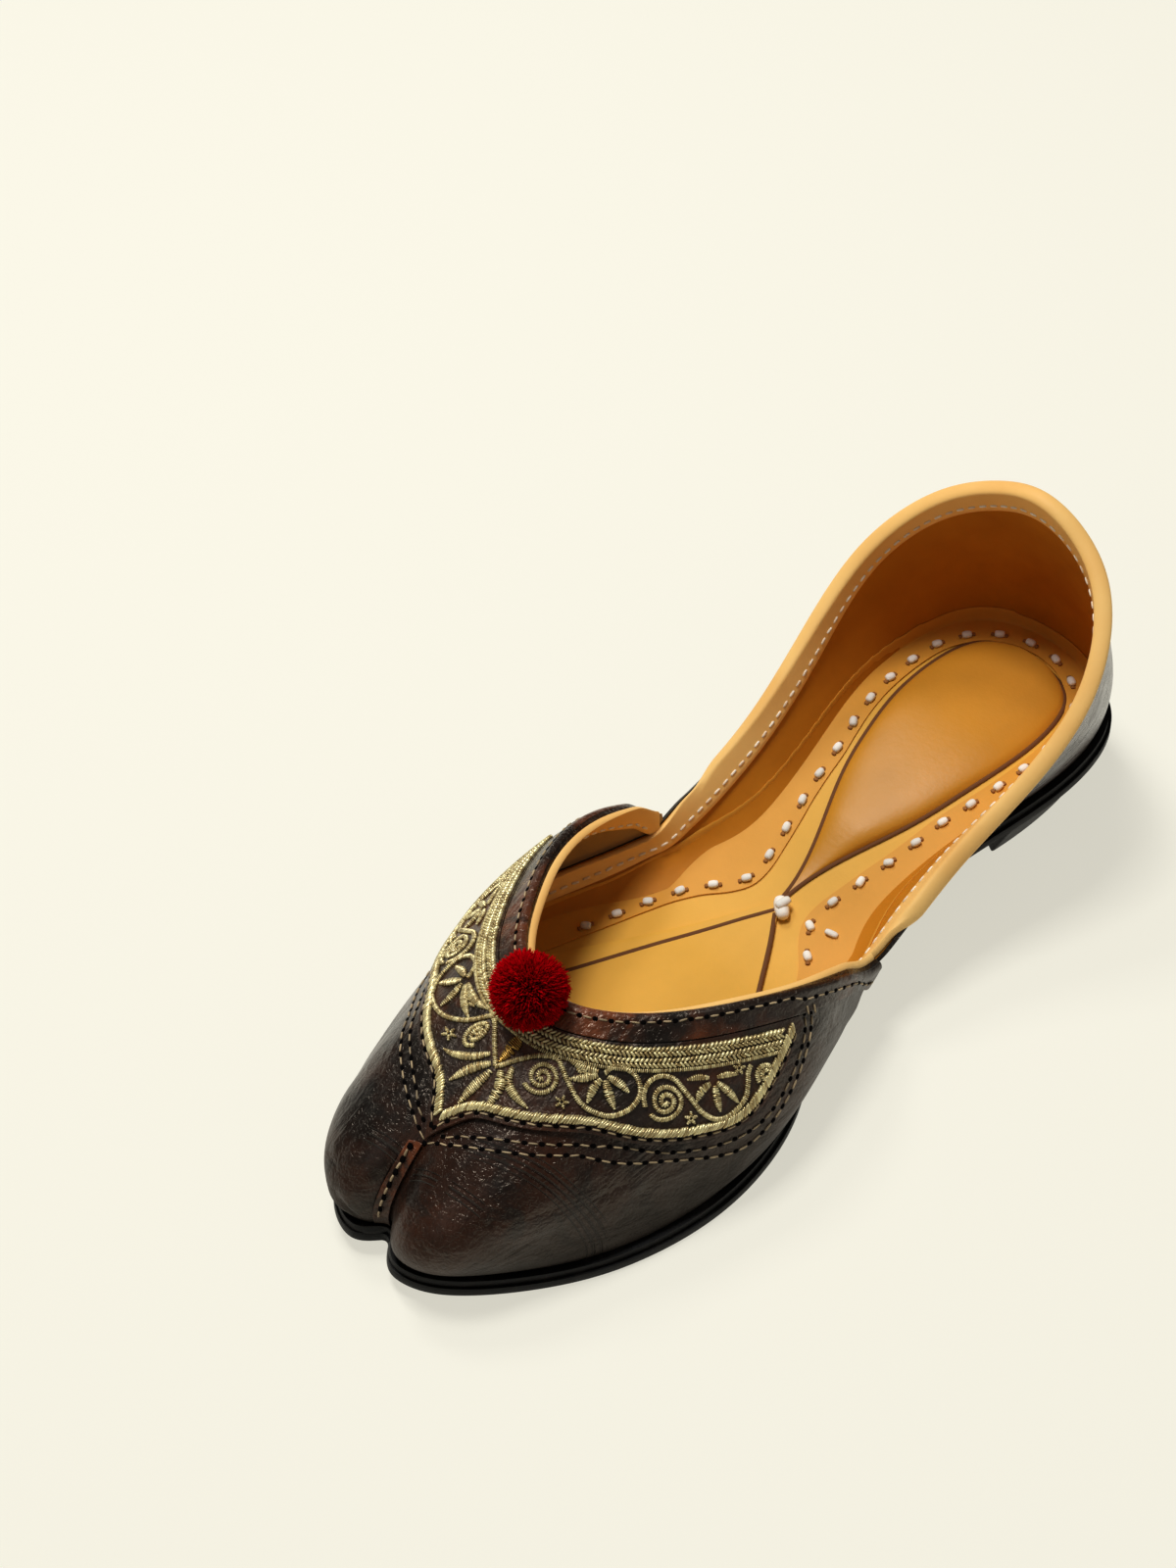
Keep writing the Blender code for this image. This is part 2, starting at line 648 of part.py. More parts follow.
def toe_seam():
    """The left piece of the vamp lapped over the right one, from the panel to the notch."""
    share, width = grid(np.linspace(0, 1, 15), np.array([0.0, 0.5, 1.0]))
    start = panel_edge(0.0) + 0.02
    down = start + share * (0.985 - start)
    spread = -VAMP_SKIN.section(np.full_like(down, -0.05), down)[..., 0] / 0.05
    across = -width * SEAM_WIDTH / spread
    under = CLEARANCE * 1.4
    height = under + SEAM_HEIGHT * (1 - 0.6 * width)
    return solid(
        "toe_seam",
        VAMP_SKIN.raised(across, down, height),
        VAMP_SKIN.raised(across, down, under),
        "brown_leather",
    )


def pompom():
    """A ball of wool with short locks standing out of it, flat where it sits on the throat."""
    seat = VAMP_SKIN.beside(np.array([0.0]), np.array([POMPOM_DROP]), np.array([0.0]))[0]
    off = VAMP_SKIN.beside(np.array([0.0]), np.array([POMPOM_DROP]), np.array([0.01]))[0]
    seat, off = in_frame(seat), in_frame(off)
    normal = unit(off - seat)
    floor = CLEARANCE * 2 + OVERLAY
    centre = seat + normal * (floor + POMPOM_RISE)
    chance = random.Random(7)
    mesh = bmesh.new()
    bmesh.ops.create_icosphere(mesh, subdivisions=3, radius=POMPOM_RADIUS)
    directions = [vert.co.normalized() for vert in mesh.verts]
    centres = bmesh.ops.poke(mesh, faces=mesh.faces[:])["verts"]
    for vert, direction in zip(list(mesh.verts), directions):
        vert.co = direction * POMPOM_RADIUS * chance.uniform(0.94, 1.04)
    for vert in centres:
        vert.co = vert.co.normalized() * (POMPOM_RADIUS + POMPOM_LOCK * chance.uniform(0.2, 1))
    for vert in mesh.verts:
        point = np.array(vert.co)
        low = -POMPOM_RISE - point @ normal
        if low > 0:
            point = point * POMPOM_RISE / (POMPOM_RISE + low)
            point += normal * (-POMPOM_RISE - point @ normal)
        vert.co = point + centre
    bmesh.ops.recalc_face_normals(mesh, faces=mesh.faces)
    made = bpy.data.meshes.new("pompom")
    mesh.to_mesh(made)
    mesh.free()
    thing = bpy.data.objects.new("pompom", made)
    thing.data.materials.append(material("red_wool"))
    bpy.context.scene.collection.objects.link(thing)
    return thing


def main():
    clear_scene()
    for piece in (
        outsole,
        heel,
        insole,
        heel_pad,
        forefoot_pad,
        upper,
        throat_band,
        embroidered_panel,
        toe_seam,
        topline_fold,
        throat_fold,
        pompom,
    ):
        piece()


if __name__ == "__main__":
    main()
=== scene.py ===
"""Looks of a flat mojari shoe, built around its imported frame: leather, lining, trims and pompom."""

import math

import bpy
import numpy as np
from mathutils import Matrix, Vector


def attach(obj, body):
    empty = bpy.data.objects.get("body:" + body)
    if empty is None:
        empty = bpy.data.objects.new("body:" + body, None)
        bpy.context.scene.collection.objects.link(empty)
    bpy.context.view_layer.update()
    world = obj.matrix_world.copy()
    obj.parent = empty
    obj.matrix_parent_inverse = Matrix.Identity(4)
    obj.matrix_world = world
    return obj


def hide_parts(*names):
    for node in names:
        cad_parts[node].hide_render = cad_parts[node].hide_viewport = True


bl_info = {
    "name": "Mojari shoe",
    "version": (1, 0, 0),
    "blender": (4, 5, 0),
    "location": "View3D > Sidebar > Shoe",
    "description": "Builds the leather, stitches, embroidery and pompom of a mojari shoe",
    "category": "Object",
}

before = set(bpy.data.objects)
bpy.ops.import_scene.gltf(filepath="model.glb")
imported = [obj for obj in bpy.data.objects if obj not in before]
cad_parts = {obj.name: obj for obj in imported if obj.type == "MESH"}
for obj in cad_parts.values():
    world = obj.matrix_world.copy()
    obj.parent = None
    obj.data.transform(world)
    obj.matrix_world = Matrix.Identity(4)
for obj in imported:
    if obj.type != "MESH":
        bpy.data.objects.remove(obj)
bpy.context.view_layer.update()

# Sizes of the shoe, in metres, as in the part.
LENGTH = 0.2435  # outsole, back to toe
BALL_WIDTH = 0.095  # outsole, at the widest
HEEL_HEIGHT = 0.017  # floor to the outsole's underside at the seat
TOE_SPRING = 0.0045
SOLE_THICKNESS = 0.0045
INSTEP_HEIGHT = 0.0503  # floor to the middle of the throat
COUNTER_HEIGHT = 0.0845  # floor to the top of the back
WALL = 0.002  # vamp and quarters
FEATHER_SETBACK = 0.0025  # sole edge to the foot of the upper
CLEARANCE = 0.0003  # between neighbouring pieces
SHANK_FRONT = 0.132  # along the sole, where it leaves the floor
SHANK_BACK = 0.042  # along the sole, where it reaches the seat's height
TOE_LIFT_START = 0.2  # along the sole, where the toe spring begins
NOTCH_DEPTH = 0.006  # between the two lobes of the toe
NOTCH_WIDTH = 0.0045
NOTCH_START = 0.211
HEEL_LENGTH = 0.052
HEEL_BREAST = 0.006  # hollow of the heel's front face
HEEL_NARROWING = 0.76  # width at the floor over width at the seat
INSOLE_THICKNESS = 0.003
HEEL_PAD_THICKNESS = 0.0025
HEEL_PAD_MARGIN = 0.0075  # insole edge to pad edge, where the big stitches run
PAD_POINT = 0.1065  # along the sole, where the two pads meet
PAD_TAPER = 0.06  # along the sole, where the heel pad starts to narrow
FOREFOOT_PAD_THICKNESS = 0.0008
FOREFOOT_PAD_END = 0.2
FOREFOOT_PAD_SPREAD = 0.42  # half width gained for each length
QUARTER_LIFT = 0.0004  # foot of the quarters above the foot of the vamp, where they overlap
OVERLAY = 0.001  # leather of the trims
THROAT_BAND = 0.0068
PANEL_GAP = 0.0005  # throat band to panel
FOLD_WIDTH = 0.0072  # tan lining folded over the top edges
FOLD_THICKNESS = 0.0009
FOLD_LIP = 0.0012  # lining folded over the top edge: its reach down the outside
SEAM_WIDTH = 0.0032
SEAM_HEIGHT = 0.0006
POMPOM_RADIUS = 0.0088
POMPOM_DROP = 0.0045  # throat edge to the middle of the pompom, down the vamp
POMPOM_RISE = 0.0072  # centre of the pompom above the throat band
LAYER_OVERLAP = 0.0007  # how far vamp and quarters are sunk into each other
WING_LIES = (0.86, 1.0)  # across the vamp, where its wings come down on the quarters
QUARTER_LIES = (0.672, 0.775)  # across the quarters, where they come to follow the vamp
PANEL_END = 0.695  # across the vamp, where the panel runs out under the band
PANEL_POINT = 0.09  # the point in the middle of the panel's lower edge, in shares
PANEL_POINT_RUN = 0.02  # its width, across
MILLIMETRE = 0.001
WING_TRIM = 0.958  # shares across the vamp, where its near and far wings end
FAR_TRIM = 0.928
WING_DEPTH = 0.04  # of the vamp at a wing's tip
TIP_LIFT = 0.003  # how far the near wing's tip is drawn up
TIP_START = 0.86  # across the vamp, where that begins
TIP_RUN = 0.1  # how much further across it is drawn up in full
TIP_FADE = 0.5  # down the vamp, where it has died out
ROLL = 0.0014  # radius of the throat band's rounded edge
ROLL_SHARE = 0.2  # of the band's rows, which lie in its rounded edge
# Near black: the dye of the dark patches and specks, and also painted shade on the low sides and in
# the pressed lines.
DYE_AND_SHADE_BLACK = (0.004, 0.0028, 0.0024)
PANEL_TOP = CLEARANCE + OVERLAY  # upper face of the band and the panel over the vamp
THREAD_PITCH = 0.00048  # one metallic thread to the next
ROPE_INSET = 0.0027  # panel edge to the middle of the rope edge
EDGE_ROW_INSET = 0.0011  # panel edge to its stitches
TURNED_RISE = 0.0042  # insole to the upper edge of the turned lining
FOLD_ROW = 0.0046  # top edges to the stitches inside the folded lining
FOLD_HIDDEN = 0.63  # across the quarters, where the fold goes behind their edge
FOLD_FADE = 0.05  # how much further across it is quite behind it
MIDDLE_GAP = 0.004  # across, left free of rope and stitches on each side of the middle
GROOVE_GAP = 0.0002  # pad's back edge to the groove round it
GROOVE_SHORT = 0.0008  # pad's point to the end of the groove
BAND_TUCK = 0.0002  # top edge to the outermost line of the rolled band
BAND_REACH = 1.002
TOP_ROW_END = 0.985  # across, where the rows along the top edges and the rope end
VAMP_FOLD_ROW_END = 0.9
CHAIN_HEIGHT = 0.0013
VAMP_SHARE = 0.72  # of WALL that is the vamp's leather, the rest being its lining
QUARTER_SHARE = 0.5  # of WALL that is the quarters' leather
FOLD_SHEET = 0.0006  # leather of the folded lining
FOLD_THINNING = 0.35  # of the fold at its lower edge, and the share down where it starts
FOLD_THIN_START = 0.85
FOLD_FLATNESS = 0.6  # height of the rolled edge over its half width
HIDDEN_ROLL = (-WALL * 0.6, 0.0006, 0.0009)  # height, reach and depth of a roll under the edge
INNER = 0.998  # across, where directions are read at the very ends
SEAM_SIDE = 0.05  # across, where the vamp's spread beside the toe seam is measured
SEAM_MARGIN = 0.02  # down, from the panel's edge to the seam
SEAM_END = 0.985
VAMP_START = 0.008  # down, where the vamp's leather starts under the rolled band
TURNED_BEND = (0.3, 0.12)  # share of the turned lining that bends, and how far in it reaches
SOLE_LAYER = 0.0023  # lower layer of the outsole
WELT_LAYER = 0.00215  # upper layer of the outsole
WELT_INSET = 0.0008
HEEL_SETBACK = 0.0007  # sole edge to the heel's side
HEEL_ROUND = 0.36  # share of the heel's outline from the back to each front corner
BEVEL_ANGLE = math.radians(50)
SMOOTH_ANGLE = math.radians(45)
POMPOM_LOCKS = 7000
LOCK_BEND = 0.22  # how far a lock's tip may lean, over its length
LOCK_THICKNESS = 0.00026  # middle of a lock to its corners
LOCK_RINGS = ((0.45, 1.0), (0.72, 1.0), (0.92, 0.8), (1.02, 0.25))  # share out and thickness
POMPOM_RUFFLE = 0.07  # unevenness of the ball, over its radius
POMPOM_NUDGE = (0.0014, 0.0008, 0.0)  # where it lies, beside the middle of the throat
POMPOM_CORE = 0.72  # radius of the ball under the locks, over the pompom's

HALF = BALL_WIDTH / 2

# Edge of the outsole, from the back to the toe: along in LENGTH, out in half the ball width.
SOLE_EDGE = [dict(zip(("along", "out"), row)) for row in (
    (0.0, 0.0), (0.012, 0.312), (0.053, 0.548), (0.123, 0.642), (0.205, 0.62), (0.287, 0.525),
    (0.369, 0.447), (0.433, 0.455), (0.511, 0.615), (0.585, 0.853), (0.663, 0.985),
    (0.745, 0.995), (0.83, 0.885), (0.908, 0.675), (0.977, 0.39), (0.997, 0.158), (1.0, 0.0),
)]

# Sections of the vamp, from the middle of the throat to the tip of a wing. The top edge is given
# along in LENGTH, out in half the ball width and up in INSTEP_HEIGHT; foot is the share of the way
# round the sole's edge. Slope is the fall of the surface at the top edge, and reach, swell and
# rise, in INSTEP_HEIGHT, are how far it holds that slope and how it stands out over its foot.
SECTION = ("along", "out", "up", "foot", "slope", "reach", "swell", "rise")
VAMP = [dict(zip(SECTION, row)) for row in (
    (0.751, 0.0, 1.0, 1.0, 24, 0.7, 0.08, 0.28),
    (0.747, 0.126, 0.98, 0.953, 24, 0.7, 0.27, 0.31),
    (0.73, 0.263, 0.953, 0.888, 29, 0.63, 0.2, 0.26),
    (0.703, 0.4, 0.927, 0.8125, 34, 0.55, 0.06, 0.23),
    (0.665, 0.541, 0.903, 0.733, 42, 0.47, 0.02, 0.25),
    (0.618, 0.669, 0.87, 0.657, 50, 0.42, 0.16, 0.2),
    (0.556, 0.762, 0.768, 0.576, 63, 0.29, 0.24, 0.26),
    (0.496, 0.783, 0.605, 0.4965, 100, 0.16, 0.38, 0.12),
    (0.4435, 0.765, 0.418, 0.434, 120, 0.13, 0.148, 0.08),
)]

# Sections of the quarters, from the back seam to their front ends inside the vamp, in the same
# terms, except that heights are in COUNTER_HEIGHT.
QUARTER = [dict(zip(SECTION, row)) for row in (
    (0.059, 0.0, 1.0, 0.0, 78, 0.31, 0.047, 0.19),
    (0.063, 0.295, 0.948, 0.061, 80, 0.31, 0.047, 0.19),
    (0.094, 0.579, 0.858, 0.1245, 84, 0.28, 0.047, 0.18),
    (0.158, 0.768, 0.711, 0.191, 92, 0.21, 0.05, 0.14),
    (0.239, 0.777, 0.542, 0.274, 110, 0.14, 0.06, 0.08),
    (0.328, 0.722, 0.395, 0.367, 125, 0.11, 0.075, 0.05),
    (0.416, 0.728, 0.277, 0.426, 130, 0.09, 0.13, 0.035),
    (0.508, 0.76, 0.212, 0.4985, 110, 0.07, 0.17, 0.035),
    (0.603, 0.762, 0.202, 0.584, 85, 0.06, 0.1, 0.045),
    (0.689, 0.735, 0.214, 0.653, 80, 0.06, 0.05, 0.045),
)]

# Lower edge of the embroidered panel, at even steps from the middle of the vamp to the panel's end:
# the share of the way from the throat to the foot.
PANEL_EDGE = [0.4, 0.345, 0.305, 0.297, 0.305, 0.33, 0.37, 0.42, 0.47, 0.5, 0.475, 0.335, 0.195]

# The gold embroidery, charted. A motif has its middle as shares across and down the vamp,
# and its own marks in millimetres, x towards the wing and y towards the sole. A petal is a start, a
# middle, a tip and a width.
MIDDLE_PALMETTE = {"across": 0.034, "down": 0.205, "petals": [
    (-2.4, -1.0, -5.5, 2.6, -10.8, 5.0, 2.2),
    (-0.8, 0.5, -3.2, 4.6, -4.7, 9.8, 2.6),
    (0.4, 1.8, 0.0, 7.0, 0.1, 12.8, 2.8),
    (2.2, 0.2, 4.6, 3.2, 5.3, 8.5, 3.0),
    (4.0, -2.0, 5.4, 1.6, 9.1, 4.8, 2.4),
]}
MIDDLE_BUD = (0.4, -0.8, 0.5, -4.0, 0.6, -7.6, 5.0)
PALMETTES = [
    {"across": 0.249, "down": 0.157, "petals": [
        (-1.0, -0.4, -4.0, -1.2, -6.8, -2.7, 2.4),
        (-1.2, 0.3, -4.0, 0.9, -6.8, 1.2, 2.2),
        (-0.6, 1.2, -2.4, 3.4, -3.6, 6.4, 2.3),
        (0.3, 1.6, 1.0, 5.0, 2.0, 8.8, 2.5),
        (1.0, 0.8, 3.4, 2.6, 5.3, 5.2, 2.3),
    ]},
    {"across": 0.5, "down": 0.25, "petals": [
        (-0.8, -0.3, -3.4, -1.2, -6.2, -1.4, 1.7),
        (-0.8, 1.0, -3.2, 2.0, -4.8, 4.0, 2.2),
        (0.1, 1.8, 0.0, 5.0, 0.3, 8.5, 2.2),
        (0.8, 1.2, 2.8, 4.2, 4.4, 7.7, 2.1),
        (1.0, 0.1, 3.5, 0.2, 6.0, 0.8, 1.6),
    ]},
]
# Middle, outer radius, turns (against the clock where negative), first angle and last radius.
SPIRALS = [
    {"across": 0.135, "down": 0.177, "radius": 4.1, "turns": -2.3, "start": 140, "last": 0.4},
    {"across": 0.405, "down": 0.273, "radius": 4.5, "turns": -2.4, "start": 160, "last": 0.4},
    {"across": 0.603, "down": 0.303, "radius": 2.5, "turns": 1.5, "start": 150, "last": 0.7},
]
FLOWERS = [(0.177, 0.226), (0.462, 0.372), (0.553, 0.243), (0.2, 0.158)]
VINES = [
    [
        (0.04, 0.21), (0.06, 0.19), (0.085, 0.165), (0.115, 0.137), (0.144, 0.13), (0.16, 0.15),
        (0.177, 0.18), (0.207, 0.223), (0.24, 0.25), (0.288, 0.272), (0.327, 0.265),
        (0.346, 0.237), (0.346, 0.203), (0.33, 0.167), (0.297, 0.143), (0.27, 0.143),
        (0.253, 0.158),
    ],
    [
        (0.363, 0.27), (0.356, 0.23), (0.366, 0.197), (0.393, 0.188), (0.42, 0.21),
        (0.438, 0.25), (0.459, 0.303), (0.48, 0.36), (0.508, 0.412), (0.531, 0.425),
        (0.55, 0.403), (0.564, 0.365), (0.568, 0.313), (0.57, 0.27), (0.577, 0.245),
    ],
]
# Rows of the chain under the throat band, with the plain cord below it: distance from the throat
# in millimetres, slant, and width and pitch of its thread.
CHAIN = [(distance, slant, 0.00185, 0.00105) for distance, slant in (
    (8.4, 42), (9.5, -42), (10.9, 42), (12.0, -42)
)] + [(13.1, 86, 0.001, THREAD_PITCH)]
CHAIN_END = 0.655
# Width of the thread, and its height over the panel.
VINE_THREAD = (0.0014, 0.0011)
SPIRAL_THREAD = (0.0013, 0.0011)
PETAL_HEIGHT = 0.0012
BUD_THREAD = (0.005, 0.0013)
# Width, pitch and height of the rope edge's turns, and their slant.
ROPE_THREAD = (0.0029, 0.00066, 0.0013)
ROPE_SLANT = 52
# Sewing: the pitch, then a stitch's length, width and height.
BAND_SEWING = (0.0036, (0.0021, 0.00045, 0.0005))
PANEL_SEWING = (0.0037, (0.0021, 0.00045, 0.0005))
VAMP_SEWING = (0.0039, (0.0023, 0.00045, 0.0005))
SEAM_SEWING = (0.0038, (0.0019, 0.0007, 0.0007))
FOLD_SEWING = (0.0031, (0.0021, 0.00075, 0.0006))
LACE_SEWING = (0.0084, (0.0027, 0.0022, 0.0017))
# Small brown marks beside each lace stitch: painted shadow of the lace at its holes.
LACE_HOLE_SHADOWS = (0.0084, (0.001, 0.0013, 0.0005))
# Stitch rows on the vamp, outside the panel, from the middle to the throat band at the wing.
VAMP_ROWS = [
    [
        (0.03, 0.43), (0.078, 0.38), (0.13, 0.337), (0.19, 0.332), (0.26, 0.348), (0.355, 0.397),
        (0.45, 0.5), (0.51, 0.55), (0.553, 0.56), (0.594, 0.545), (0.625, 0.5), (0.652, 0.427),
        (0.678, 0.337), (0.698, 0.25), (0.71, 0.16), (0.717, 0.09),
    ],
    [
        (0.0, 0.503), (0.035, 0.45), (0.08, 0.405), (0.135, 0.365), (0.2, 0.362), (0.27, 0.385),
        (0.4, 0.485), (0.49, 0.577), (0.54, 0.62), (0.576, 0.632), (0.612, 0.6), (0.643, 0.53),
        (0.673, 0.43), (0.7, 0.32), (0.72, 0.21), (0.732, 0.1),
    ],
]
# How far the whole pattern leans towards the wing at the middle, as a share across.
PATTERN_LEAN = 0.085

# Where the laces run on one side, in millimetres out and along, from the back of the heel to the
# waist and on along the forefoot.
LACE_MARKS = [
    (0.0, 8.6), (6.5, 9.6), (12.5, 12.6), (17.6, 17.6), (21.2, 25.0), (22.4, 34.0),
    (22.3, 44.0), (21.2, 53.0), (19.4, 61.0), (17.6, 68.0), (16.4, 75.0), (15.0, 82.0),
    (13.2, 89.0), (11.6, 96.0), (10.4, 102.0), (10.6, 107.0), (13.4, 111.4), (18.4, 116.6),
    (22.6, 123.0), (25.6, 130.0), (28.4, 138.0), (31.6, 147.0), (34.6, 156.0), (37.0, 165.0),
]
LACE_END = 0.149  # along the sole, where the stitches of the laces stop
LACE_HEIGHT = 0.0007  # over the insole
# Loops of the knot, and the loose end on the far side: two marks in millimetres out and along,
# and, in metres, its height over the insole and its size, with its slant.
KNOTS = [
    ([(0.8, 107.7), (3.8, 110.0)], 0.0012, (0.0062, 0.0038, 0.0032), 0.0),
    ([(1.2, 108.7), (3.2, 107.7)], 0.0026, (0.0042, 0.0026, 0.0022), 0.9),
    ([(16.3, 105.8), (16.6, 106.2)], 0.0007, (0.0036, 0.0018, 0.0014), 1.2),
]
# Seams of the forefoot cover, in millimetres out and along.
COVER_SEAMS = [
    ("far_seam", [(1.0, 109.5), (-5.0, 119.0), (-13.0, 134.0), (-23.6, 156.5), (-27.5, 164.0)]),
    ("near_seam", [(1.6, 110.5), (6.6, 117.5), (13.8, 128.8), (25.0, 146.0)]),
]

# Soft creases of the upper: a line of shares across and down, its width and lift in millimetres.
VAMP_CREASES = [
    {"line": [(-0.10, 0.83), (-0.085, 0.9), (-0.06, 0.96)], "width": 1.3, "lift": -1.0},
    {"line": [(-0.135, 0.86), (-0.115, 0.92), (-0.09, 0.97)], "width": 1.5, "lift": 0.6},
    {"line": [(-0.02, 0.62), (-0.035, 0.74), (-0.03, 0.86)], "width": 2.6, "lift": -0.5},
    {"line": [(0.035, 0.72), (0.03, 0.84), (0.045, 0.94)], "width": 2.2, "lift": 0.4},
    {"line": [(0.16, 0.62), (0.24, 0.7), (0.33, 0.74)], "width": 4.0, "lift": -0.5},
    {"line": [(-0.2, 0.55), (-0.28, 0.66), (-0.36, 0.7)], "width": 4.0, "lift": -0.5},
    {"line": [(0.46, 0.72), (0.56, 0.76), (0.66, 0.72)], "width": 3.2, "lift": -0.4},
    {"line": [(-0.44, 0.7), (-0.55, 0.76), (-0.66, 0.7)], "width": 3.2, "lift": -0.4},
    {"line": [(0.78, 0.3), (0.84, 0.5), (0.82, 0.75)], "width": 3.0, "lift": -0.35},
    {"line": [(-0.78, 0.3), (-0.84, 0.5), (-0.82, 0.75)], "width": 3.0, "lift": -0.35},
]
SIDE_CREASES = [
    {"line": [(0.46, 0.25), (0.42, 0.55), (0.4, 0.85)], "width": 3.5, "lift": -0.4},
    {"line": [(0.25, 0.3), (0.3, 0.45), (0.28, 0.7)], "width": 3.0, "lift": 0.25},
]
QUARTER_CREASES = [
    {"line": [(0.12, 0.6), (0.0, 0.68), (-0.12, 0.6)], "width": 4.0, "lift": -0.4},
    *SIDE_CREASES,
    *({**crease, "line": [(-across, down) for across, down in crease["line"]]}
      for crease in SIDE_CREASES),
]
# Lines pressed into the toe, seen from above: middle in metres, angle in degrees, half the length
# and width of the bundle, and the pitch of its lines.
PRESSED_LINES = [
    ((0.0245, -0.0905), 24.0, 0.0165, 0.0026, 0.0013),
    ((0.0055, -0.1072), 8.0, 0.0042, 0.0013, 0.0013),
    ((0.0172, -0.105), 11.0, 0.0048, 0.0014, 0.0014),
    ((-0.0078, -0.1078), 11.0, 0.005, 0.0015, 0.0015),
]

# Lamps: name, place, size, and power as a share of the key light's.
LAMPS = [
    ("key", (-0.3, 0.0, 1.3), 0.34, 1.0),
    ("sheen", (-0.7, 0.2, 1.05), 0.28, 0.34),
    ("side", (1.1, 0.3, 0.55), 0.6, 0.04),
    ("front", (0.1, -1.2, 1.1), 0.8, 0.06),
]
PAPER_GLOW = 0.7  # light that the floor gives off
PICTURE_GAMMA = 0.86
CAMERA_ANGLES = (49.39, 49.56, -4.28)  # round from the toe, up and roll, in degrees
CAMERA_AIM = (-0.04977, -0.00264, 0.030)
CAMERA_DISTANCE = 0.7387
SENSOR = 36  # millimetres
FOCAL_SHARE = 3033.84 / 1600  # focal length over the picture's longer side


def ease(share):
    share = np.clip(share, 0, 1)
    return share * share * (3 - 2 * share)


def slowed(share):
    """A share that moves slowly near 0 and near 1."""
    return (1 - np.cos(math.pi * share)) / 2


def columns(rows, names, scales):
    return np.array([[row[name] * scale for name, scale in zip(names, scales)] for row in rows])


def unit(vectors):
    return vectors / np.linalg.norm(vectors, axis=-1, keepdims=True)


def between(places, marks, values):
    """Rows of values, read off at places between the marks they stand at."""
    return np.stack([np.interp(places, marks, column) for column in values.T], -1)


def run_along(line):
    """How far along a line each of its points is."""
    return np.concatenate([[0], np.cumsum(np.linalg.norm(np.diff(line, axis=0), axis=1))])


def scaled(colour, share):
    return tuple(part * share for part in colour)


def spline(table, odd, closed=False):
    """Natural cubic through the rows, mirrored at its first row and, when closed, at its last."""
    mirror = np.ones(table.shape[1])
    mirror[odd] = -1
    keep = np.where(mirror < 0, 2.0, 0.0)
    before = (table[0] * keep + table[1:] * mirror)[::-1]
    after = (table[-1] * keep + table[:-1] * mirror)[::-1] if closed else table[:0]
    rows = np.concatenate([before, table, after])
    count = len(rows)
    system = np.eye(count)
    right = np.zeros_like(rows)
    for row in range(1, count - 1):
        system[row, row - 1 : row + 2] = 1, 4, 1
        right[row] = 6 * (rows[row - 1] - 2 * rows[row] + rows[row + 1])
    bend = np.linalg.solve(system, right)

    def at(place):
        place = np.asarray(place) + len(before)
        low = np.clip(np.floor(place).astype(int), 0, count - 2)
        past = (place - low)[..., None]
        left = 1 - past
        curve = (left**3 - left) * bend[low] + (past**3 - past) * bend[low + 1]
        return left * rows[low] + past * rows[low + 1] + curve / 6

    return at


def underside(along):
    seat = HEEL_HEIGHT * ease((SHANK_FRONT - along) / (SHANK_FRONT - SHANK_BACK))
    toe = np.clip((along - TOE_LIFT_START) / (LENGTH - TOE_LIFT_START), 0, None)
    return seat + TOE_SPRING * toe**2


def sole_top(along):
    return underside(along) + SOLE_THICKNESS


def insole_top(along):
    return sole_top(along) + CLEARANCE + INSOLE_THICKNESS


def notched(points):
    """Draws the middle of the toe back between its two lobes."""
    out, along = points[..., 0], points[..., 1]
    near = ease((along - NOTCH_START) / (LENGTH - NOTCH_START))
    drawn = points.copy()
    drawn[..., 1] = along - NOTCH_DEPTH * np.exp(-((out / NOTCH_WIDTH) ** 2)) * near
    return drawn


class SoleEdge:
    """Outline of the outsole: a point and its outward normal at a share of the way round."""

    def __init__(self, samples=1500):
        table = columns(SOLE_EDGE, ("out", "along"), (HALF, LENGTH))
        self.points = spline(table, [0], closed=True)(np.linspace(0, len(table) - 1, samples))
        steps = np.linalg.norm(np.diff(self.points, axis=0), axis=1)
        self.share = np.concatenate([[0], np.cumsum(steps)]) / steps.sum()
        run = np.gradient(self.points, axis=0)
        self.normals = unit(np.stack([run[:, 1], -run[:, 0]], axis=1))
        self.points[[0, -1], 0] = 0
        self.normals[[0, -1]] = (0, -1), (0, 1)

    def at(self, share, inset=0.0):
        point = between(share, self.share, self.points)
        normal = unit(between(share, self.share, self.normals))
        return point - normal * np.asarray(inset)[..., None], normal


EDGE = SoleEdge()
MIDDLE = notched(EDGE.points)[:, 1].max() / 2


def in_frame(points):
    """From out, along and up to the part's own frame."""
    points = notched(points)
    return np.stack([points[..., 0], MIDDLE - points[..., 1], points[..., 2]], -1)


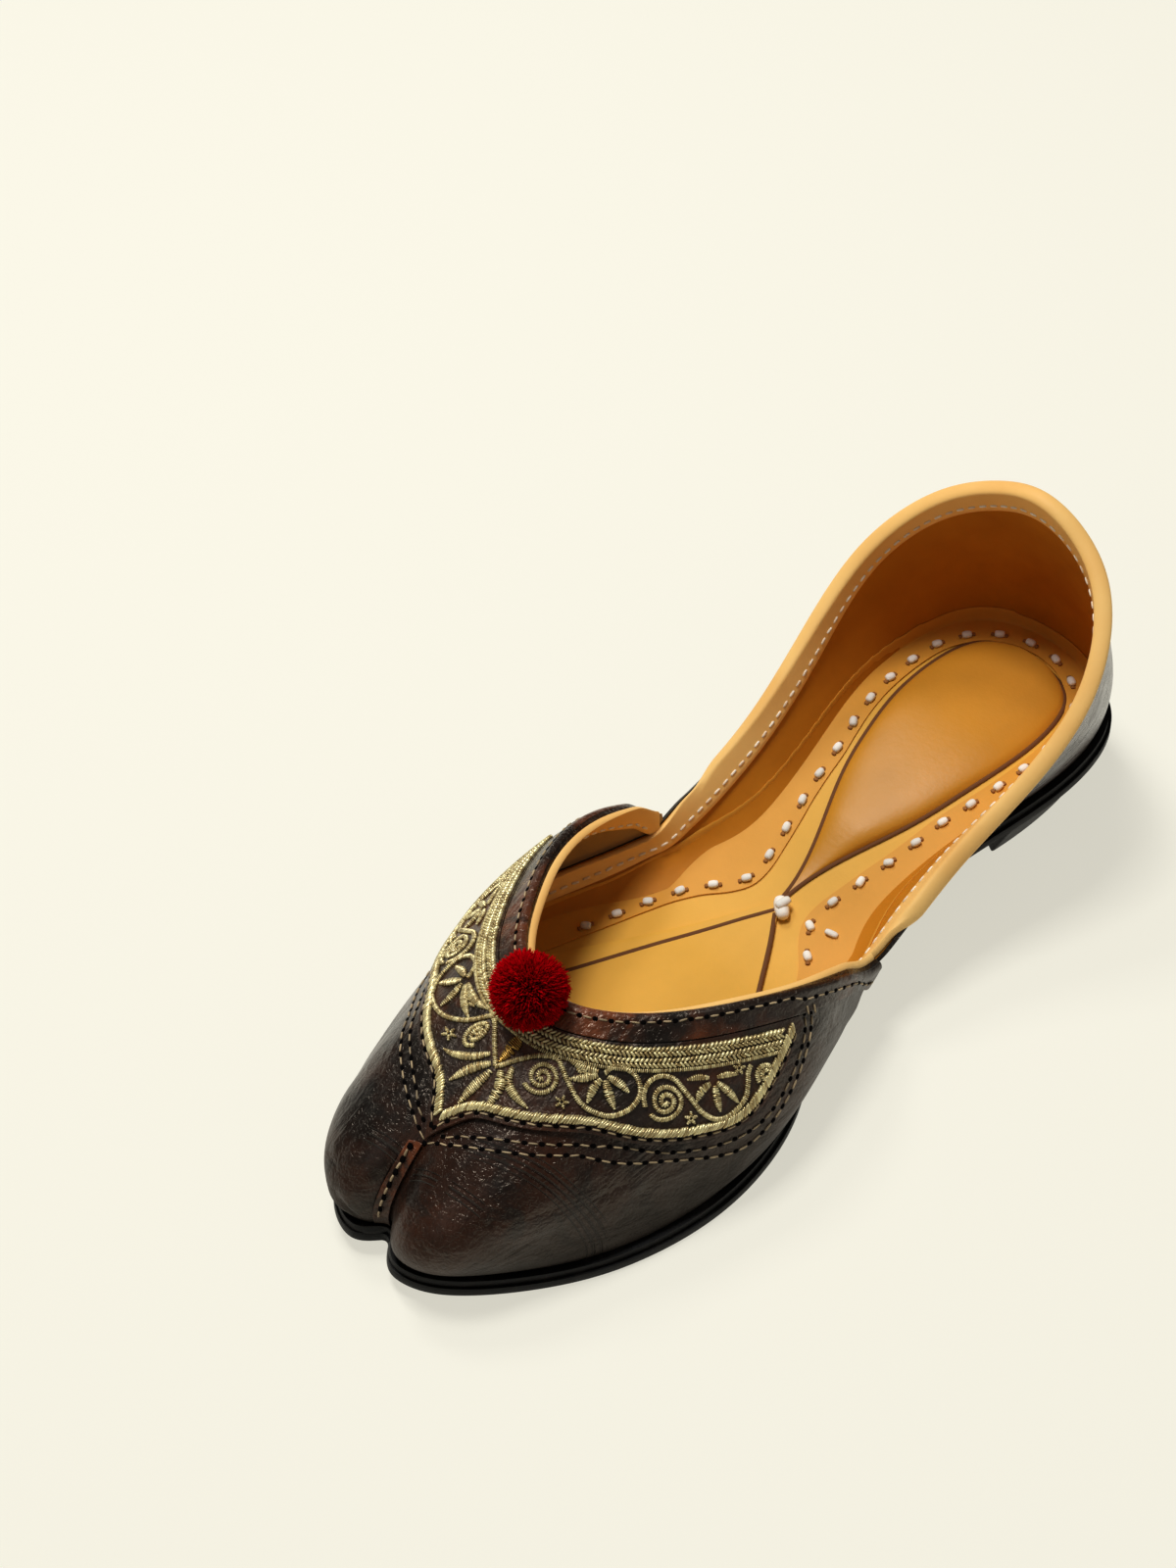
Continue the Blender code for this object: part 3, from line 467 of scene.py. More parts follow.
class Skin:
    """Outer surface of the vamp or the quarters. Across runs from -1 to 1, with 0 in the middle,
    and down from 0 at the open top edge to 1 at the foot."""

    def __init__(self, rows, height, lies, facing, outside):
        names = ("out", "along", "up", "foot", "slope", "reach", "swell", "rise")
        scales = (HALF, LENGTH, height, 1, math.pi / 180, height, height, height)
        table = columns(rows, names, scales)
        table[:, 3] -= table[0, 3]
        self.start = rows[0]["foot"]
        self.curve = spline(table, [0, 3])
        self.last = len(rows) - 1
        self.lies, self.facing, self.outside = lies, facing, outside
        self.other = None
        self.across_table = np.linspace(0, 1, 401)
        self.foot_table = self.foot_share(self.across_table)

    def meet(self, other):
        """Sets which skin this one lies against and, for the inner one, the level on the other at its
        top edge.
        """
        self.other = other
        side = self.across_table
        if not self.outside:
            matched = other.across_at(self.foot_table)
            top = self.curve(side * self.last)[..., 2]
            levels = np.linspace(0, 1, 61)
            lines = other.free_section(*np.meshgrid(matched, levels, indexing="ij"))[..., 2]
            self.start_level = np.array(
                [np.interp(-height, -line, levels) for height, line in zip(top, lines)]
            )

    def measure(self):
        self.rows = np.linspace(-1, 1, 241)
        self.steps = np.linspace(0, 1, 81)
        across, down = np.meshgrid(self.rows, self.steps, indexing="ij")
        line = self.section(across, down)
        run = np.cumsum(np.linalg.norm(np.diff(line, axis=1), axis=2), axis=1)
        self.lengths = np.concatenate([np.zeros((len(self.rows), 1)), run], axis=1)

    def foot_share(self, across):
        return np.clip(self.start + self.curve(np.abs(across) * self.last)[..., 3], 0, 1)

    def across_at(self, foot):
        order = np.argsort(self.foot_table)
        return np.interp(foot, self.foot_table[order], self.across_table[order])

    def free_section(self, across, down):
        values = self.curve(np.abs(across) * self.last)
        spot, out = EDGE.at(self.foot_share(across), FEATHER_SETBACK + 0 * across)
        spot = np.stack([spot[..., 0], spot[..., 1], sole_top(spot[..., 1]) + CLEARANCE], -1)
        outward = np.stack([out[..., 0], out[..., 1], 0 * across], -1)
        slope, reach, swell, rise = (values[..., k, None] for k in (4, 5, 6, 7))
        upward = np.array([0, 0, 1.0])
        top = values[..., 0:3]
        shoulder = top + reach * (outward * np.cos(slope) - upward * np.sin(slope))
        cheek = spot + swell * outward + rise * upward
        down = down[..., None]
        up = 1 - down
        curve = up**3 * top + 3 * up**2 * down * shoulder
        curve = curve + 3 * up * down**2 * cheek + down**3 * spot
        curve[..., 0] *= np.where(across < 0, -1.0, 1.0)
        return curve

    def section(self, across, down):
        """The free section, except where it comes to lie against the other skin."""
        across, down = np.broadcast_arrays(np.asarray(across, float), np.asarray(down, float))
        free = self.free_section(across, down)
        share = (np.abs(across) - self.lies[0]) / (self.lies[1] - self.lies[0])
        if not (share > 0).any():
            return free
        side = np.where(across < 0, -1.0, 1.0)
        matched = self.other.across_at(self.foot_share(across)) * side
        level = down
        if not self.outside:
            start = np.interp(np.abs(across), self.across_table, self.start_level)
            level = start + (1 - start) * down
        away = WALL - LAYER_OVERLAP
        lying = self.other.free_raised(matched, level, away if self.outside else -away)
        if not self.outside:
            lying[..., 2] += QUARTER_LIFT * down**4
        weight = ease(share)[..., None]
        return free * (1 - weight) + lying * weight

    def floor(self, across, points):
        share = (np.abs(across) - self.lies[0]) / (self.lies[1] - self.lies[0])
        lift = 0 if self.outside else QUARTER_LIFT * ease(share)
        return sole_top(points[..., 1]) + CLEARANCE + lift

    def normals_of(self, surface, across, down):
        step = 1e-3
        aside = surface(across + step, down) - surface(across - step, down)
        low, high = np.maximum(down - step, 0), np.minimum(down + step, 1)
        return unit(np.cross(surface(across, high) - surface(across, low), aside)) * self.facing

    def free_raised(self, across, down, height):
        normal = self.normals_of(self.free_section, across, down)
        return self.free_section(across, down) + normal * height

    def raised(self, across, down, height):
        across, down = np.broadcast_arrays(np.asarray(across, float), np.asarray(down, float))
        inner = np.clip(across, -0.999, 0.999)
        normal = self.normals_of(self.section, inner, down)
        points = self.section(across, down) + normal * np.asarray(height)[..., None]
        points[..., 2] = np.maximum(points[..., 2], self.floor(across, points))
        return points

    def down_at(self, across, distance):
        """How far down, as a share, a distance along the section from the top edge is."""
        across, distance = np.broadcast_arrays(np.asarray(across, float), distance)
        place = (across.ravel() + 1) * (len(self.rows) - 1) / 2
        low = np.clip(np.floor(place).astype(int), 0, len(self.rows) - 2)
        part = np.clip(place - low, 0, 1)[:, None]
        lengths = self.lengths[low] * (1 - part) + self.lengths[low + 1] * part
        far = distance.ravel()[:, None]
        after = np.clip((lengths < far).sum(1), 1, len(self.steps) - 1)
        pick = np.arange(len(after))
        low_length, high_length = lengths[pick, after - 1], lengths[pick, after]
        share = (far[:, 0] - low_length) / np.maximum(high_length - low_length, 1e-9)
        found = self.steps[after - 1] + np.clip(share, 0, 1) * self.steps[1]
        return found.reshape(distance.shape)

    def beside(self, across, distance, height):
        """Points a distance below the top edge and a height off the skin, and above the edge
        straight on where the distance is negative."""
        across, distance = np.broadcast_arrays(np.asarray(across, float), distance)
        down = self.down_at(across, np.maximum(distance, 0))
        points = self.raised(across, down, height)
        rise = unit(self.section(across, 0 * across) - self.section(across, 0 * across + 0.03))
        return points + rise * np.maximum(-distance, 0)[..., None]


QUARTERS = Skin(QUARTER, COUNTER_HEIGHT, QUARTER_LIES, 1, False)
VAMP_SKIN = Skin(VAMP, INSTEP_HEIGHT, WING_LIES, -1, True)
QUARTERS.meet(VAMP_SKIN)
VAMP_SKIN.meet(QUARTERS)
QUARTERS.measure()
VAMP_SKIN.measure()


def panel_edge(across):
    """Share down the vamp of the embroidered panel's lower edge."""
    edge = spline(np.array(PANEL_EDGE)[:, None], [])
    out = np.abs(across)
    plain = edge(out / PANEL_END * (len(PANEL_EDGE) - 1))[..., 0]
    return plain + PANEL_POINT * np.exp(-out / PANEL_POINT_RUN)


def cavity_line(shares, height):
    """How far in from the sole's edge the inside of the upper stands, below a height."""
    down = np.linspace(0.4, 1, 24)
    edge, out = EDGE.at(shares)
    found = np.full(len(shares), FEATHER_SETBACK)
    for skin in (QUARTERS, VAMP_SKIN):
        side, level = np.meshgrid(skin.across_at(shares), down, indexing="ij")
        wall = skin.raised(side, level, -WALL - CLEARANCE)
        depth = ((edge[:, None, :] - wall[..., :2]) * out[:, None, :]).sum(-1)
        low = wall[..., 2] <= sole_top(wall[..., 1]) + height
        depth = np.where(low, depth, 0).max(axis=1)
        there = (shares >= skin.foot_table.min() - 0.01) & (shares <= skin.foot_table.max() + 0.01)
        found = np.maximum(found, np.where(there, depth, 0))
    return found


def insole_inset(shares):
    return cavity_line(shares, INSOLE_THICKNESS + 4 * CLEARANCE) + CLEARANCE


def clear():
    """Leaves nothing selected, as every operator acts on the whole selection."""
    if bpy.context.object and bpy.context.object.mode != "OBJECT":
        bpy.ops.object.mode_set(mode="OBJECT")
    bpy.ops.object.select_all(action="DESELECT")


def pick(thing):
    clear()
    thing.select_set(True)
    bpy.context.view_layer.objects.active = thing


def apply_all(thing):
    pick(thing)
    for modifier in list(thing.modifiers):
        bpy.ops.object.modifier_apply(modifier=modifier.name)


def merged(thing, distance=2e-6):
    pick(thing)
    bpy.ops.object.mode_set(mode="EDIT")
    bpy.ops.mesh.select_all(action="SELECT")
    bpy.ops.mesh.remove_doubles(threshold=distance)
    bpy.ops.object.mode_set(mode="OBJECT")


def bevelled(thing, width):
    edge = thing.modifiers.new("edge", "BEVEL")
    edge.width = width
    edge.segments = 2
    edge.limit_method = "ANGLE"
    edge.angle_limit = BEVEL_ANGLE


def sheet(name, place, counts, thickness, bevel=0.0, merge=False, level=False):
    """A grid primitive laid out by a function of two shares and a height, then given a wall
    inwards. A level sheet has its outer side up."""
    clear()
    bpy.ops.mesh.primitive_grid_add(
        x_subdivisions=counts[0], y_subdivisions=counts[1], size=1, location=(0, 0, 0)
    )
    thing = bpy.context.object
    thing.name = thing.data.name = name
    mesh = thing.data
    flat = np.empty(len(mesh.vertices) * 3)
    mesh.vertices.foreach_get("co", flat)
    flat = flat.reshape(-1, 3) + 0.5
    points = place(flat[:, 0], flat[:, 1], 0.0)
    up = np.array([0, 0, MILLIMETRE])
    lifted = points + up if level else place(flat[:, 0], flat[:, 1], MILLIMETRE)
    mesh.vertices.foreach_set("co", points.ravel())
    mesh.update()
    middle = mesh.polygons[len(mesh.polygons) // 2 + counts[1] // 2]
    out = (lifted - points)[list(middle.vertices)].mean(0)
    if np.dot(out, middle.normal) < 0:
        mesh.flip_normals()
    if merge:
        merged(thing)
    if thickness:
        wall = thing.modifiers.new("wall", "SOLIDIFY")
        wall.thickness = thickness
        wall.offset = -1
        wall.use_even_offset = False
    if bevel:
        bevelled(thing, bevel)
    apply_all(thing)
    bpy.ops.object.shade_smooth_by_angle(angle=SMOOTH_ANGLE)
    return thing


def bead(segments, rings):
    """One stitch, 2 long, 2 wide and 2 high: a sphere whose ends are drawn out."""
    clear()
    bpy.ops.mesh.primitive_uv_sphere_add(segments=segments, ring_count=rings, radius=1)
    thing = bpy.context.object
    thing.rotation_euler = (0, math.pi / 2, 0)
    bpy.ops.object.transform_apply(location=False, rotation=True, scale=False)
    points = np.array([vert.co for vert in thing.data.vertices])
    full = np.maximum(np.linalg.norm(points[:, 1:], axis=1), 1e-6)
    wide = np.where(full > 1e-3, full**0.45 / full, 0)
    points[:, 1:] *= wide[:, None]
    faces = [list(face.vertices) for face in thing.data.polygons]
    bpy.data.objects.remove(thing, do_unlink=True)
    return points, faces


def built(name, points, faces, **marks):
    """A piece from its points and faces, with a value at each point for every mark."""
    mesh = bpy.data.meshes.new(name)
    mesh.from_pydata(points.reshape(-1, 3).tolist(), [], faces)
    for mark, values in marks.items():
        kept = mesh.attributes.new(mark, "FLOAT", "POINT")
        kept.data.foreach_set("value", values.astype(np.float32))
    thing = bpy.data.objects.new(name, mesh)
    bpy.context.scene.collection.objects.link(thing)
    mesh.shade_smooth()
    return thing


def strewn(name, shape, places, seed):
    """Copies of one shape in one mesh. Places are middles, three axes with their half lengths,
    and a shade for each copy."""
    points, faces = shape
    middles, first, second, third = places
    count = len(middles)
    made = (
        middles[:, None]
        + points[None, :, 0:1] * first[:, None]
        + points[None, :, 1:2] * second[:, None]
        + points[None, :, 2:3] * third[:, None]
    )
    base = np.arange(count) * len(points)
    index = [[corner + start for corner in face] for start in base for face in faces]
    shade = np.random.default_rng(seed).random(count)
    thing = built(name, made, index, tint=np.repeat(shade, len(points)))
    turned = np.einsum("ij,ij->i", np.cross(first, second), third)
    if turned.mean() < 0:
        thing.data.flip_normals()
    return thing


def resampled(path, pitch, start):
    """Shares of a line's length at about a pitch from each other, and the points there."""
    run = run_along(path)
    count = max(1, round(run[-1] / pitch))
    far = (np.arange(count) + start) * run[-1] / count
    return far / run[-1], between(far, run, path)


def along_path(
    path, normals, pitch, size, slant=0.0, jitter=0.0, seed=3, widths=None, start=0.5
):
    """Stitches along a line on the surface: size is length, width and height. A slant turns each
    from the line's own direction, and widths scale their length along the line."""
    chance = np.random.default_rng(seed)
    share, middles = resampled(path, pitch, start)
    run = run_along(path)
    run = run / run[-1]
    even = np.linspace(0, 1, len(path))
    normal = unit(between(share, run, normals))
    tangent = unit(between(share + 1e-3, run, path) - between(share - 1e-3, run, path))
    aside = unit(np.cross(normal, tangent))
    turn = slant + jitter * chance.normal(size=len(share))
    first = tangent * np.cos(turn)[:, None] + aside * np.sin(turn)[:, None]
    second = np.cross(normal, first)
    scale = np.ones(len(share)) if widths is None else np.interp(share, even, widths)
    half = np.array(size) / 2
    middles = middles + normal * half[2] * 0.5
    return (
        middles,
        first * half[0] * scale[:, None],
        second * half[1],
        normal * half[2] * np.sqrt(scale)[:, None],
    )


def together(groups):
    return [np.concatenate([group[k] for group in groups]) for k in range(4)]


class Socket:
    """A shader value, with Python's arithmetic for Math nodes."""

    def __init__(self, tree, link):
        self.tree, self.link = tree, link

    def math(self, operation, *others, clamp=False):
        node = self.tree.nodes.new("ShaderNodeMath")
        node.operation = operation
        node.use_clamp = clamp
        for place, value in enumerate((self, *others)):
            feed(self.tree, node.inputs[place], value)
        return Socket(self.tree, node.outputs[0])

    def __add__(self, other):
        return self.math("ADD", other)

    __radd__ = __add__

    def __mul__(self, other):
        return self.math("MULTIPLY", other)

    __rmul__ = __mul__

    def __sub__(self, other):
        return self.math("SUBTRACT", other)

    def __rsub__(self, other):
        return (self * -1) + other

    def __truediv__(self, other):
        return self.math("DIVIDE", other)

    def clip(self):
        return self.math("ADD", 0.0, clamp=True)

    def size(self):
        return self.math("ABSOLUTE")

    def most(self, other):
        return self.math("MAXIMUM", other)

    def rises(self, low, high):
        """0 below low and 1 above high, or the other way round."""
        return ((self - low) / (high - low)).clip()


def feed(tree, socket, value):
    if isinstance(value, Socket):
        tree.links.new(value.link, socket)
    elif isinstance(value, tuple) and len(value) == 3 and socket.type == "RGBA":
        socket.default_value = (*value, 1)
    else:
        socket.default_value = value


class Finish:
    """A material with a shader to build on."""

    def __init__(self, name):
        self.material = bpy.data.materials.new(name)
        self.material.use_nodes = True
        self.tree = self.material.node_tree
        self.shader = self.tree.nodes["Principled BSDF"]

    def node(self, kind, settings=None, **values):
        made = self.tree.nodes.new("ShaderNode" + kind)
        for key, value in (settings or {}).items():
            setattr(made, key, value)
        for key, value in values.items():
            feed(self.tree, made.inputs[key.replace("_", " ")], value)
        return made

    def out(self, made, name=0):
        return Socket(self.tree, made.outputs[name])

    def place(self):
        return self.out(self.node("TexCoord"), "Object")

    def axes(self):
        made = self.node("SeparateXYZ", Vector=self.place())
        return [self.out(made, axis) for axis in "XYZ"]

    def attribute(self, name):
        return self.out(self.node("Attribute", {"attribute_name": name}), "Fac")

    def noise(self, scale, detail, rough, stretch=None, distortion=0.0):
        vector = self.place()
        if stretch is not None:
            vector = self.out(self.node("Mapping", Vector=vector, Scale=stretch))
        made = self.node(
            "TexNoise", Vector=vector, Scale=scale, Detail=detail, Roughness=rough,
            Distortion=distortion,
        )
        return self.out(made, "Fac")

    def mix(self, share, first, second):
        made = self.tree.nodes.new("ShaderNodeMix")
        made.data_type = "RGBA"
        feed(self.tree, made.inputs[0], share)
        feed(self.tree, made.inputs[6], first)
        feed(self.tree, made.inputs[7], second)
        return Socket(self.tree, made.outputs[2])

    def bump(self, height, distance, strength, before=None):
        made = self.node("Bump", Height=height, Distance=distance, Strength=strength)
        if before is not None:
            feed(self.tree, made.inputs["Normal"], before)
        return self.out(made, "Normal")

    def set(self, **values):
        for key, value in values.items():
            feed(self.tree, self.shader.inputs[key.replace("_", " ")], value)
        return self.material


def paint(thing, finish, slot, *nodes):
    """Gives a piece its material and body, and hides the CAD nodes it stands for. The slot is not
    used.
    """
    thing.data.materials.clear()
    thing.data.materials.append(finish)
    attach(thing, "root")
    if nodes:
        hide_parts(*nodes)
    return thing


def embossed(made, middle, angle, half_length, half_width, pitch):
    """A bundle of straight lines pressed into the leather, seen from above: 1 in a line."""
    x, y, _ = made.axes()
    cos, sin = math.cos(math.radians(angle)), math.sin(math.radians(angle))
    along = (x - middle[0]) * cos + (y - middle[1]) * sin
    beside = (y - middle[1]) * cos - (x - middle[0]) * sin
    window = along.size().rises(half_length, half_length * 0.8)
    window = window * beside.size().rises(half_width, half_width * 0.93)
    wave = (beside * (2 * math.pi / pitch)).math("COSINE")
    return window * wave.rises(0.1, 0.9)


def brown_leather(name, dark, light, rough=0.34, worn=0.5, lines=()):
    """Burnished hide: cloudy colour, fine crumpled grain, brushed streaks and soft creases, with
    painted shade on the low sides and in the pressed lines.
    """
    made = Finish(name)
    cloud = made.noise(32.0, 4.0, 0.6)
    patch = made.noise(85.0, 4.0, 0.62, distortion=0.6)
    speck = made.noise(420.0, 3.0, 0.6)
    _, y, z = made.axes()
    toe = (y * -1).rises(0.095, 0.121)
    high = z.rises(0.012, 0.03)
    # Mask for painted shade: 1 near the floor, 0 from 27 millimetres up; it also makes the leather
    # rougher and takes its coat away.
    low = z.rises(0.027, 0.01)
    warm = (cloud.rises(0.42, 0.66) * worn + toe * (1 - high) * 0.3).clip()
    colour = made.mix(warm, dark, light)
    colour = made.mix(patch.rises(0.5, 0.62) * 0.75, colour, DYE_AND_SHADE_BLACK)
    colour = made.mix(speck.rises(0.5, 0.8) * 0.5, colour, DYE_AND_SHADE_BLACK)
    # Painted shade: the low sides darken to near black, as if they lay in shade.
    colour = made.mix(low * 0.9, colour, DYE_AND_SHADE_BLACK)
    grain = made.noise(1100.0, 4.0, 0.65)
    crumple = made.noise(560.0, 2.0, 0.5, distortion=1.6).rises(0.42, 0.56)
    streak = made.noise(300.0, 3.0, 0.6, stretch=(1.0, 0.16, 0.6), distortion=0.5)
    fold = made.noise(120.0, 3.0, 0.6, stretch=(1.0, 0.4, 1.0), distortion=1.0)
    pressed = None
    for line in lines:
        mark = embossed(made, *line)
        pressed = mark if pressed is None else pressed.most(mark)
    normal = made.bump(grain * 0.35 + crumple * 0.65, 0.00013, 0.9)
    normal = made.bump(streak, 0.0006, 0.8, normal)
    normal = made.bump(fold, 0.0018, 0.75, normal)
    if pressed is not None:
        normal = made.bump(pressed * -1, 0.0012, 1.0, normal)
        # Painted shade: the grooves of the pressed lines are darkened towards near black.
        colour = made.mix(pressed * 0.6, colour, DYE_AND_SHADE_BLACK)
    gloss = (patch * 0.34 + streak * 0.25 + low * 0.4 + rough - 0.36).clip()
    polish = ((1 - low) * (streak.rises(0.35, 0.7) * 0.5 + 0.3)).clip()
    return made.set(
        Base_Color=colour, Roughness=gloss, Normal=normal, Coat_Weight=polish,
        Coat_Roughness=0.3, Specular_IOR_Level=0.6, Specular_Tint=(1.0, 0.86, 0.7),
    )


def tan_leather(name, pale, deep, rough=0.5, grime=0.3, gloss=0.2):
    """Vegetable-tanned hide: even colour with soft clouds, pores and light grime."""
    made = Finish(name)
    cloud = made.noise(30.0, 4.0, 0.55)
    fine = made.noise(700.0, 3.0, 0.6)
    streak = made.noise(60.0, 3.0, 0.5, stretch=(1.0, 0.25, 1.0))
    soiled = (cloud.rises(0.3, 0.75) * 0.6 + streak.rises(0.4, 0.8) * grime).clip()
    colour = made.mix(soiled, pale, deep)
    normal = made.bump(fine, 0.00008, 0.7)
    normal = made.bump(streak, 0.0005, 0.35, normal)
    return made.set(
        Base_Color=colour, Roughness=(cloud * 0.12 + rough - 0.06), Normal=normal,
        Specular_IOR_Level=gloss,
    )


def thread(name, dark, light, rough, metal=0.0):
    """Yarn: each stitch has its own shade, with fine twisted ridges."""
    made = Finish(name)
    tint = made.attribute("tint")
    ridges = made.noise(2400.0, 2.0, 0.5)
    colour = made.mix((tint * 0.8 + ridges * 0.4).clip(), dark, light)
    return made.set(
        Base_Color=colour,
        Roughness=(tint * 0.15 + rough - 0.07),
        Metallic=metal,
        Normal=made.bump(ridges, 0.00006, 0.8),
    )


def creased(skin, across, down, creases):
    """How far soft creases sink or lift the leather."""
    points = skin.section(across, down)
    rise = np.zeros(len(points))
    for crease in creases:
        marks = curved(crease["line"], 24)
        line = skin.section(marks[:, 0], marks[:, 1])
        gap = np.linalg.norm(points[:, None] - line[None], axis=2)
        near = gap.min(axis=1) / (crease["width"] * MILLIMETRE)
        ends = np.sin(np.clip(gap.argmin(axis=1) / 23, 0.04, 0.96) * math.pi) ** 0.6
        rise += crease["lift"] * MILLIMETRE * ends * np.exp(-(near**2))
    return rise


def trimmed(even):
    """Shares across the vamp, from one wing's trimmed end to the other's."""
    return even * np.where(even > 0, WING_TRIM, FAR_TRIM)


def drawn(spots, across, share):
    """The near wing's tip drawn up to a point, less and less with the share down."""
    fade = np.clip(1 - share / TIP_FADE, 0, 1) ** 2
    lift = TIP_LIFT * ease((across - TIP_START) / TIP_RUN) * fade
    return spots + lift[..., None] * np.array([0, 0, 1.0])


def vamp_place(u, v, h):
    """The vamp's leather, its columns closer to each other in the middle."""
    even = u * 2 - 1
    across = trimmed(even * (0.55 + 0.45 * even**2))
    lift = creased(VAMP_SKIN, across, v, VAMP_CREASES)
    down = VAMP_START + (1 - VAMP_START) * v
    return drawn(in_frame(VAMP_SKIN.raised(across, down, h + lift)), across, v)


def quarter_place(u, v, h):
    across = u * 2 - 1
    lift = creased(QUARTERS, across, v, QUARTER_CREASES)
    return in_frame(QUARTERS.raised(across, v, h + lift))


def lining_place(skin, reach, start, share):
    """The lining under a share of the wall, from a little below the top edge."""

    def place(u, v, h):
        down = start + (1 - start) * v
        return in_frame(skin.raised((u * 2 - 1) * reach, down, h - WALL * share))

    return place


def band_place(u, v, h):
    """The band on the vamp, its first share rolled over the edge."""
    across = trimmed((u * 2 - 1) * BAND_REACH)
    turn = np.clip(1 - v / ROLL_SHARE, 0, 1) * math.pi / 2
    down = ROLL * (1 - np.sin(turn)) - h * np.sin(turn) + BAND_TUCK
    flat = np.clip((v - ROLL_SHARE) / (1 - ROLL_SHARE), 0, 1)
    down = down + flat * (THROAT_BAND - ROLL)
    height = PANEL_TOP - ROLL * (1 - np.cos(turn)) + h * np.cos(turn)
    return drawn(in_frame(VAMP_SKIN.beside(across, down, height)), across, down / WING_DEPTH)


def panel_place(u, v, h):
    across = (u * 2 - 1) * PANEL_END
    start = VAMP_SKIN.down_at(across, 0 * across + THROAT_BAND + PANEL_GAP)
    depth = np.maximum(panel_edge(across) - start, 0.01)
    return in_frame(VAMP_SKIN.raised(across, start + depth * v, PANEL_TOP + h))


def seam_spread(down):
    """Metres out from the middle for one share across, beside the toe seam."""
    return -VAMP_SKIN.section(np.full_like(down, -SEAM_SIDE), down)[..., 0] / SEAM_SIDE


def seam_place(u, v, h):
    start = panel_edge(0.0) + SEAM_MARGIN
    down = start + u * (SEAM_END - start)
    across = -v * SEAM_WIDTH / seam_spread(down)
    height = CLEARANCE * 1.4 + SEAM_HEIGHT * (1 - 0.6 * v)
    return in_frame(VAMP_SKIN.raised(across, down, height + h))


def fold_place(skin, reach, lip, hidden=None):
    """The rolled lining, from the outside round the top edge and down the inside. Past the hidden
    share across, or everywhere without one, its roll stays behind the leather's own edge."""
    full = CLEARANCE + FOLD_THICKNESS
    turn = np.linspace(0, math.pi, 25)

    def thin(share):
        return max(0, share - FOLD_THIN_START) / (1 - FOLD_THIN_START)

    inside = [
        (FOLD_WIDTH * s, -WALL - full * (1 - FOLD_THINNING * thin(s)))
        for s in np.linspace(0, 1, 12)[1:]
    ]
    curves = []
    for outer, low, sunk in ((full, lip, 0), HIDDEN_ROLL):
        radius = (outer + WALL + full) / 2
        curve = [
            (low * (1 - s) + sunk, outer * (1 if outer < 0 else 0.75 + 0.25 * s))
            for s in np.linspace(0, 1, 5)[:-1]
        ]
        curve += [
            (sunk * (1 - a / math.pi) - radius * math.sin(a) * FOLD_FLATNESS,
             outer - radius + radius * math.cos(a)) for a in turn
        ]
        curves.append(np.array(curve + inside))

    def place(u, v, h):
        across = (u * 2 - 1) * reach if hidden is not None else trimmed((u * 2 - 1) * reach)
        share = 1.0 if hidden is None else ease((np.abs(across) - hidden) / FOLD_FADE)
        spot = []
        for curve in curves:
            run = run_along(curve)
            spot.append(between(v, run / run[-1], curve).T)
        distance, height = spot[0] * (1 - share) + spot[1] * share
        inward = np.where(height < -WALL / 2, -1.0, 1.0)
        spot = in_frame(skin.beside(across, distance, height + h * inward))
        return spot if hidden is not None else drawn(spot, across, distance / WING_DEPTH)

    return place


def plate_place(inset, up):
    """A level sheet with the sole's outline, moved in and up by two functions."""

    def place(u, v, h):
        share = (slowed(u) + u) / 2
        table = np.linspace(0, 1, 240)
        deep = np.interp(share, table, inset(table))
        line, _ = EDGE.at(share, deep)
        out = np.maximum(line[:, 0], 0) * (2 * v - 1)
        out = np.where((u < 1e-4) | (u > 1 - 1e-4), 0, out)
        return in_frame(np.stack([out, line[:, 1], up(line[:, 1]) + h], -1))

    return place


def sole_material():
    made = Finish("sole_leather")
    _, _, z = made.axes()
    scuff = made.noise(260.0, 4.0, 0.65, stretch=(1.0, 1.0, 3.0))
    layer = (z * 1400.0).math("SINE")
    colour = made.mix(scuff.rises(0.5, 0.8), (0.006, 0.0055, 0.005), (0.03, 0.024, 0.02))
    normal = made.bump(scuff + layer * 0.12, 0.0003, 0.6)
    return made.set(
        Base_Color=colour, Roughness=(scuff * 0.3 + 0.4), Normal=normal,
        Specular_IOR_Level=0.22,
    )


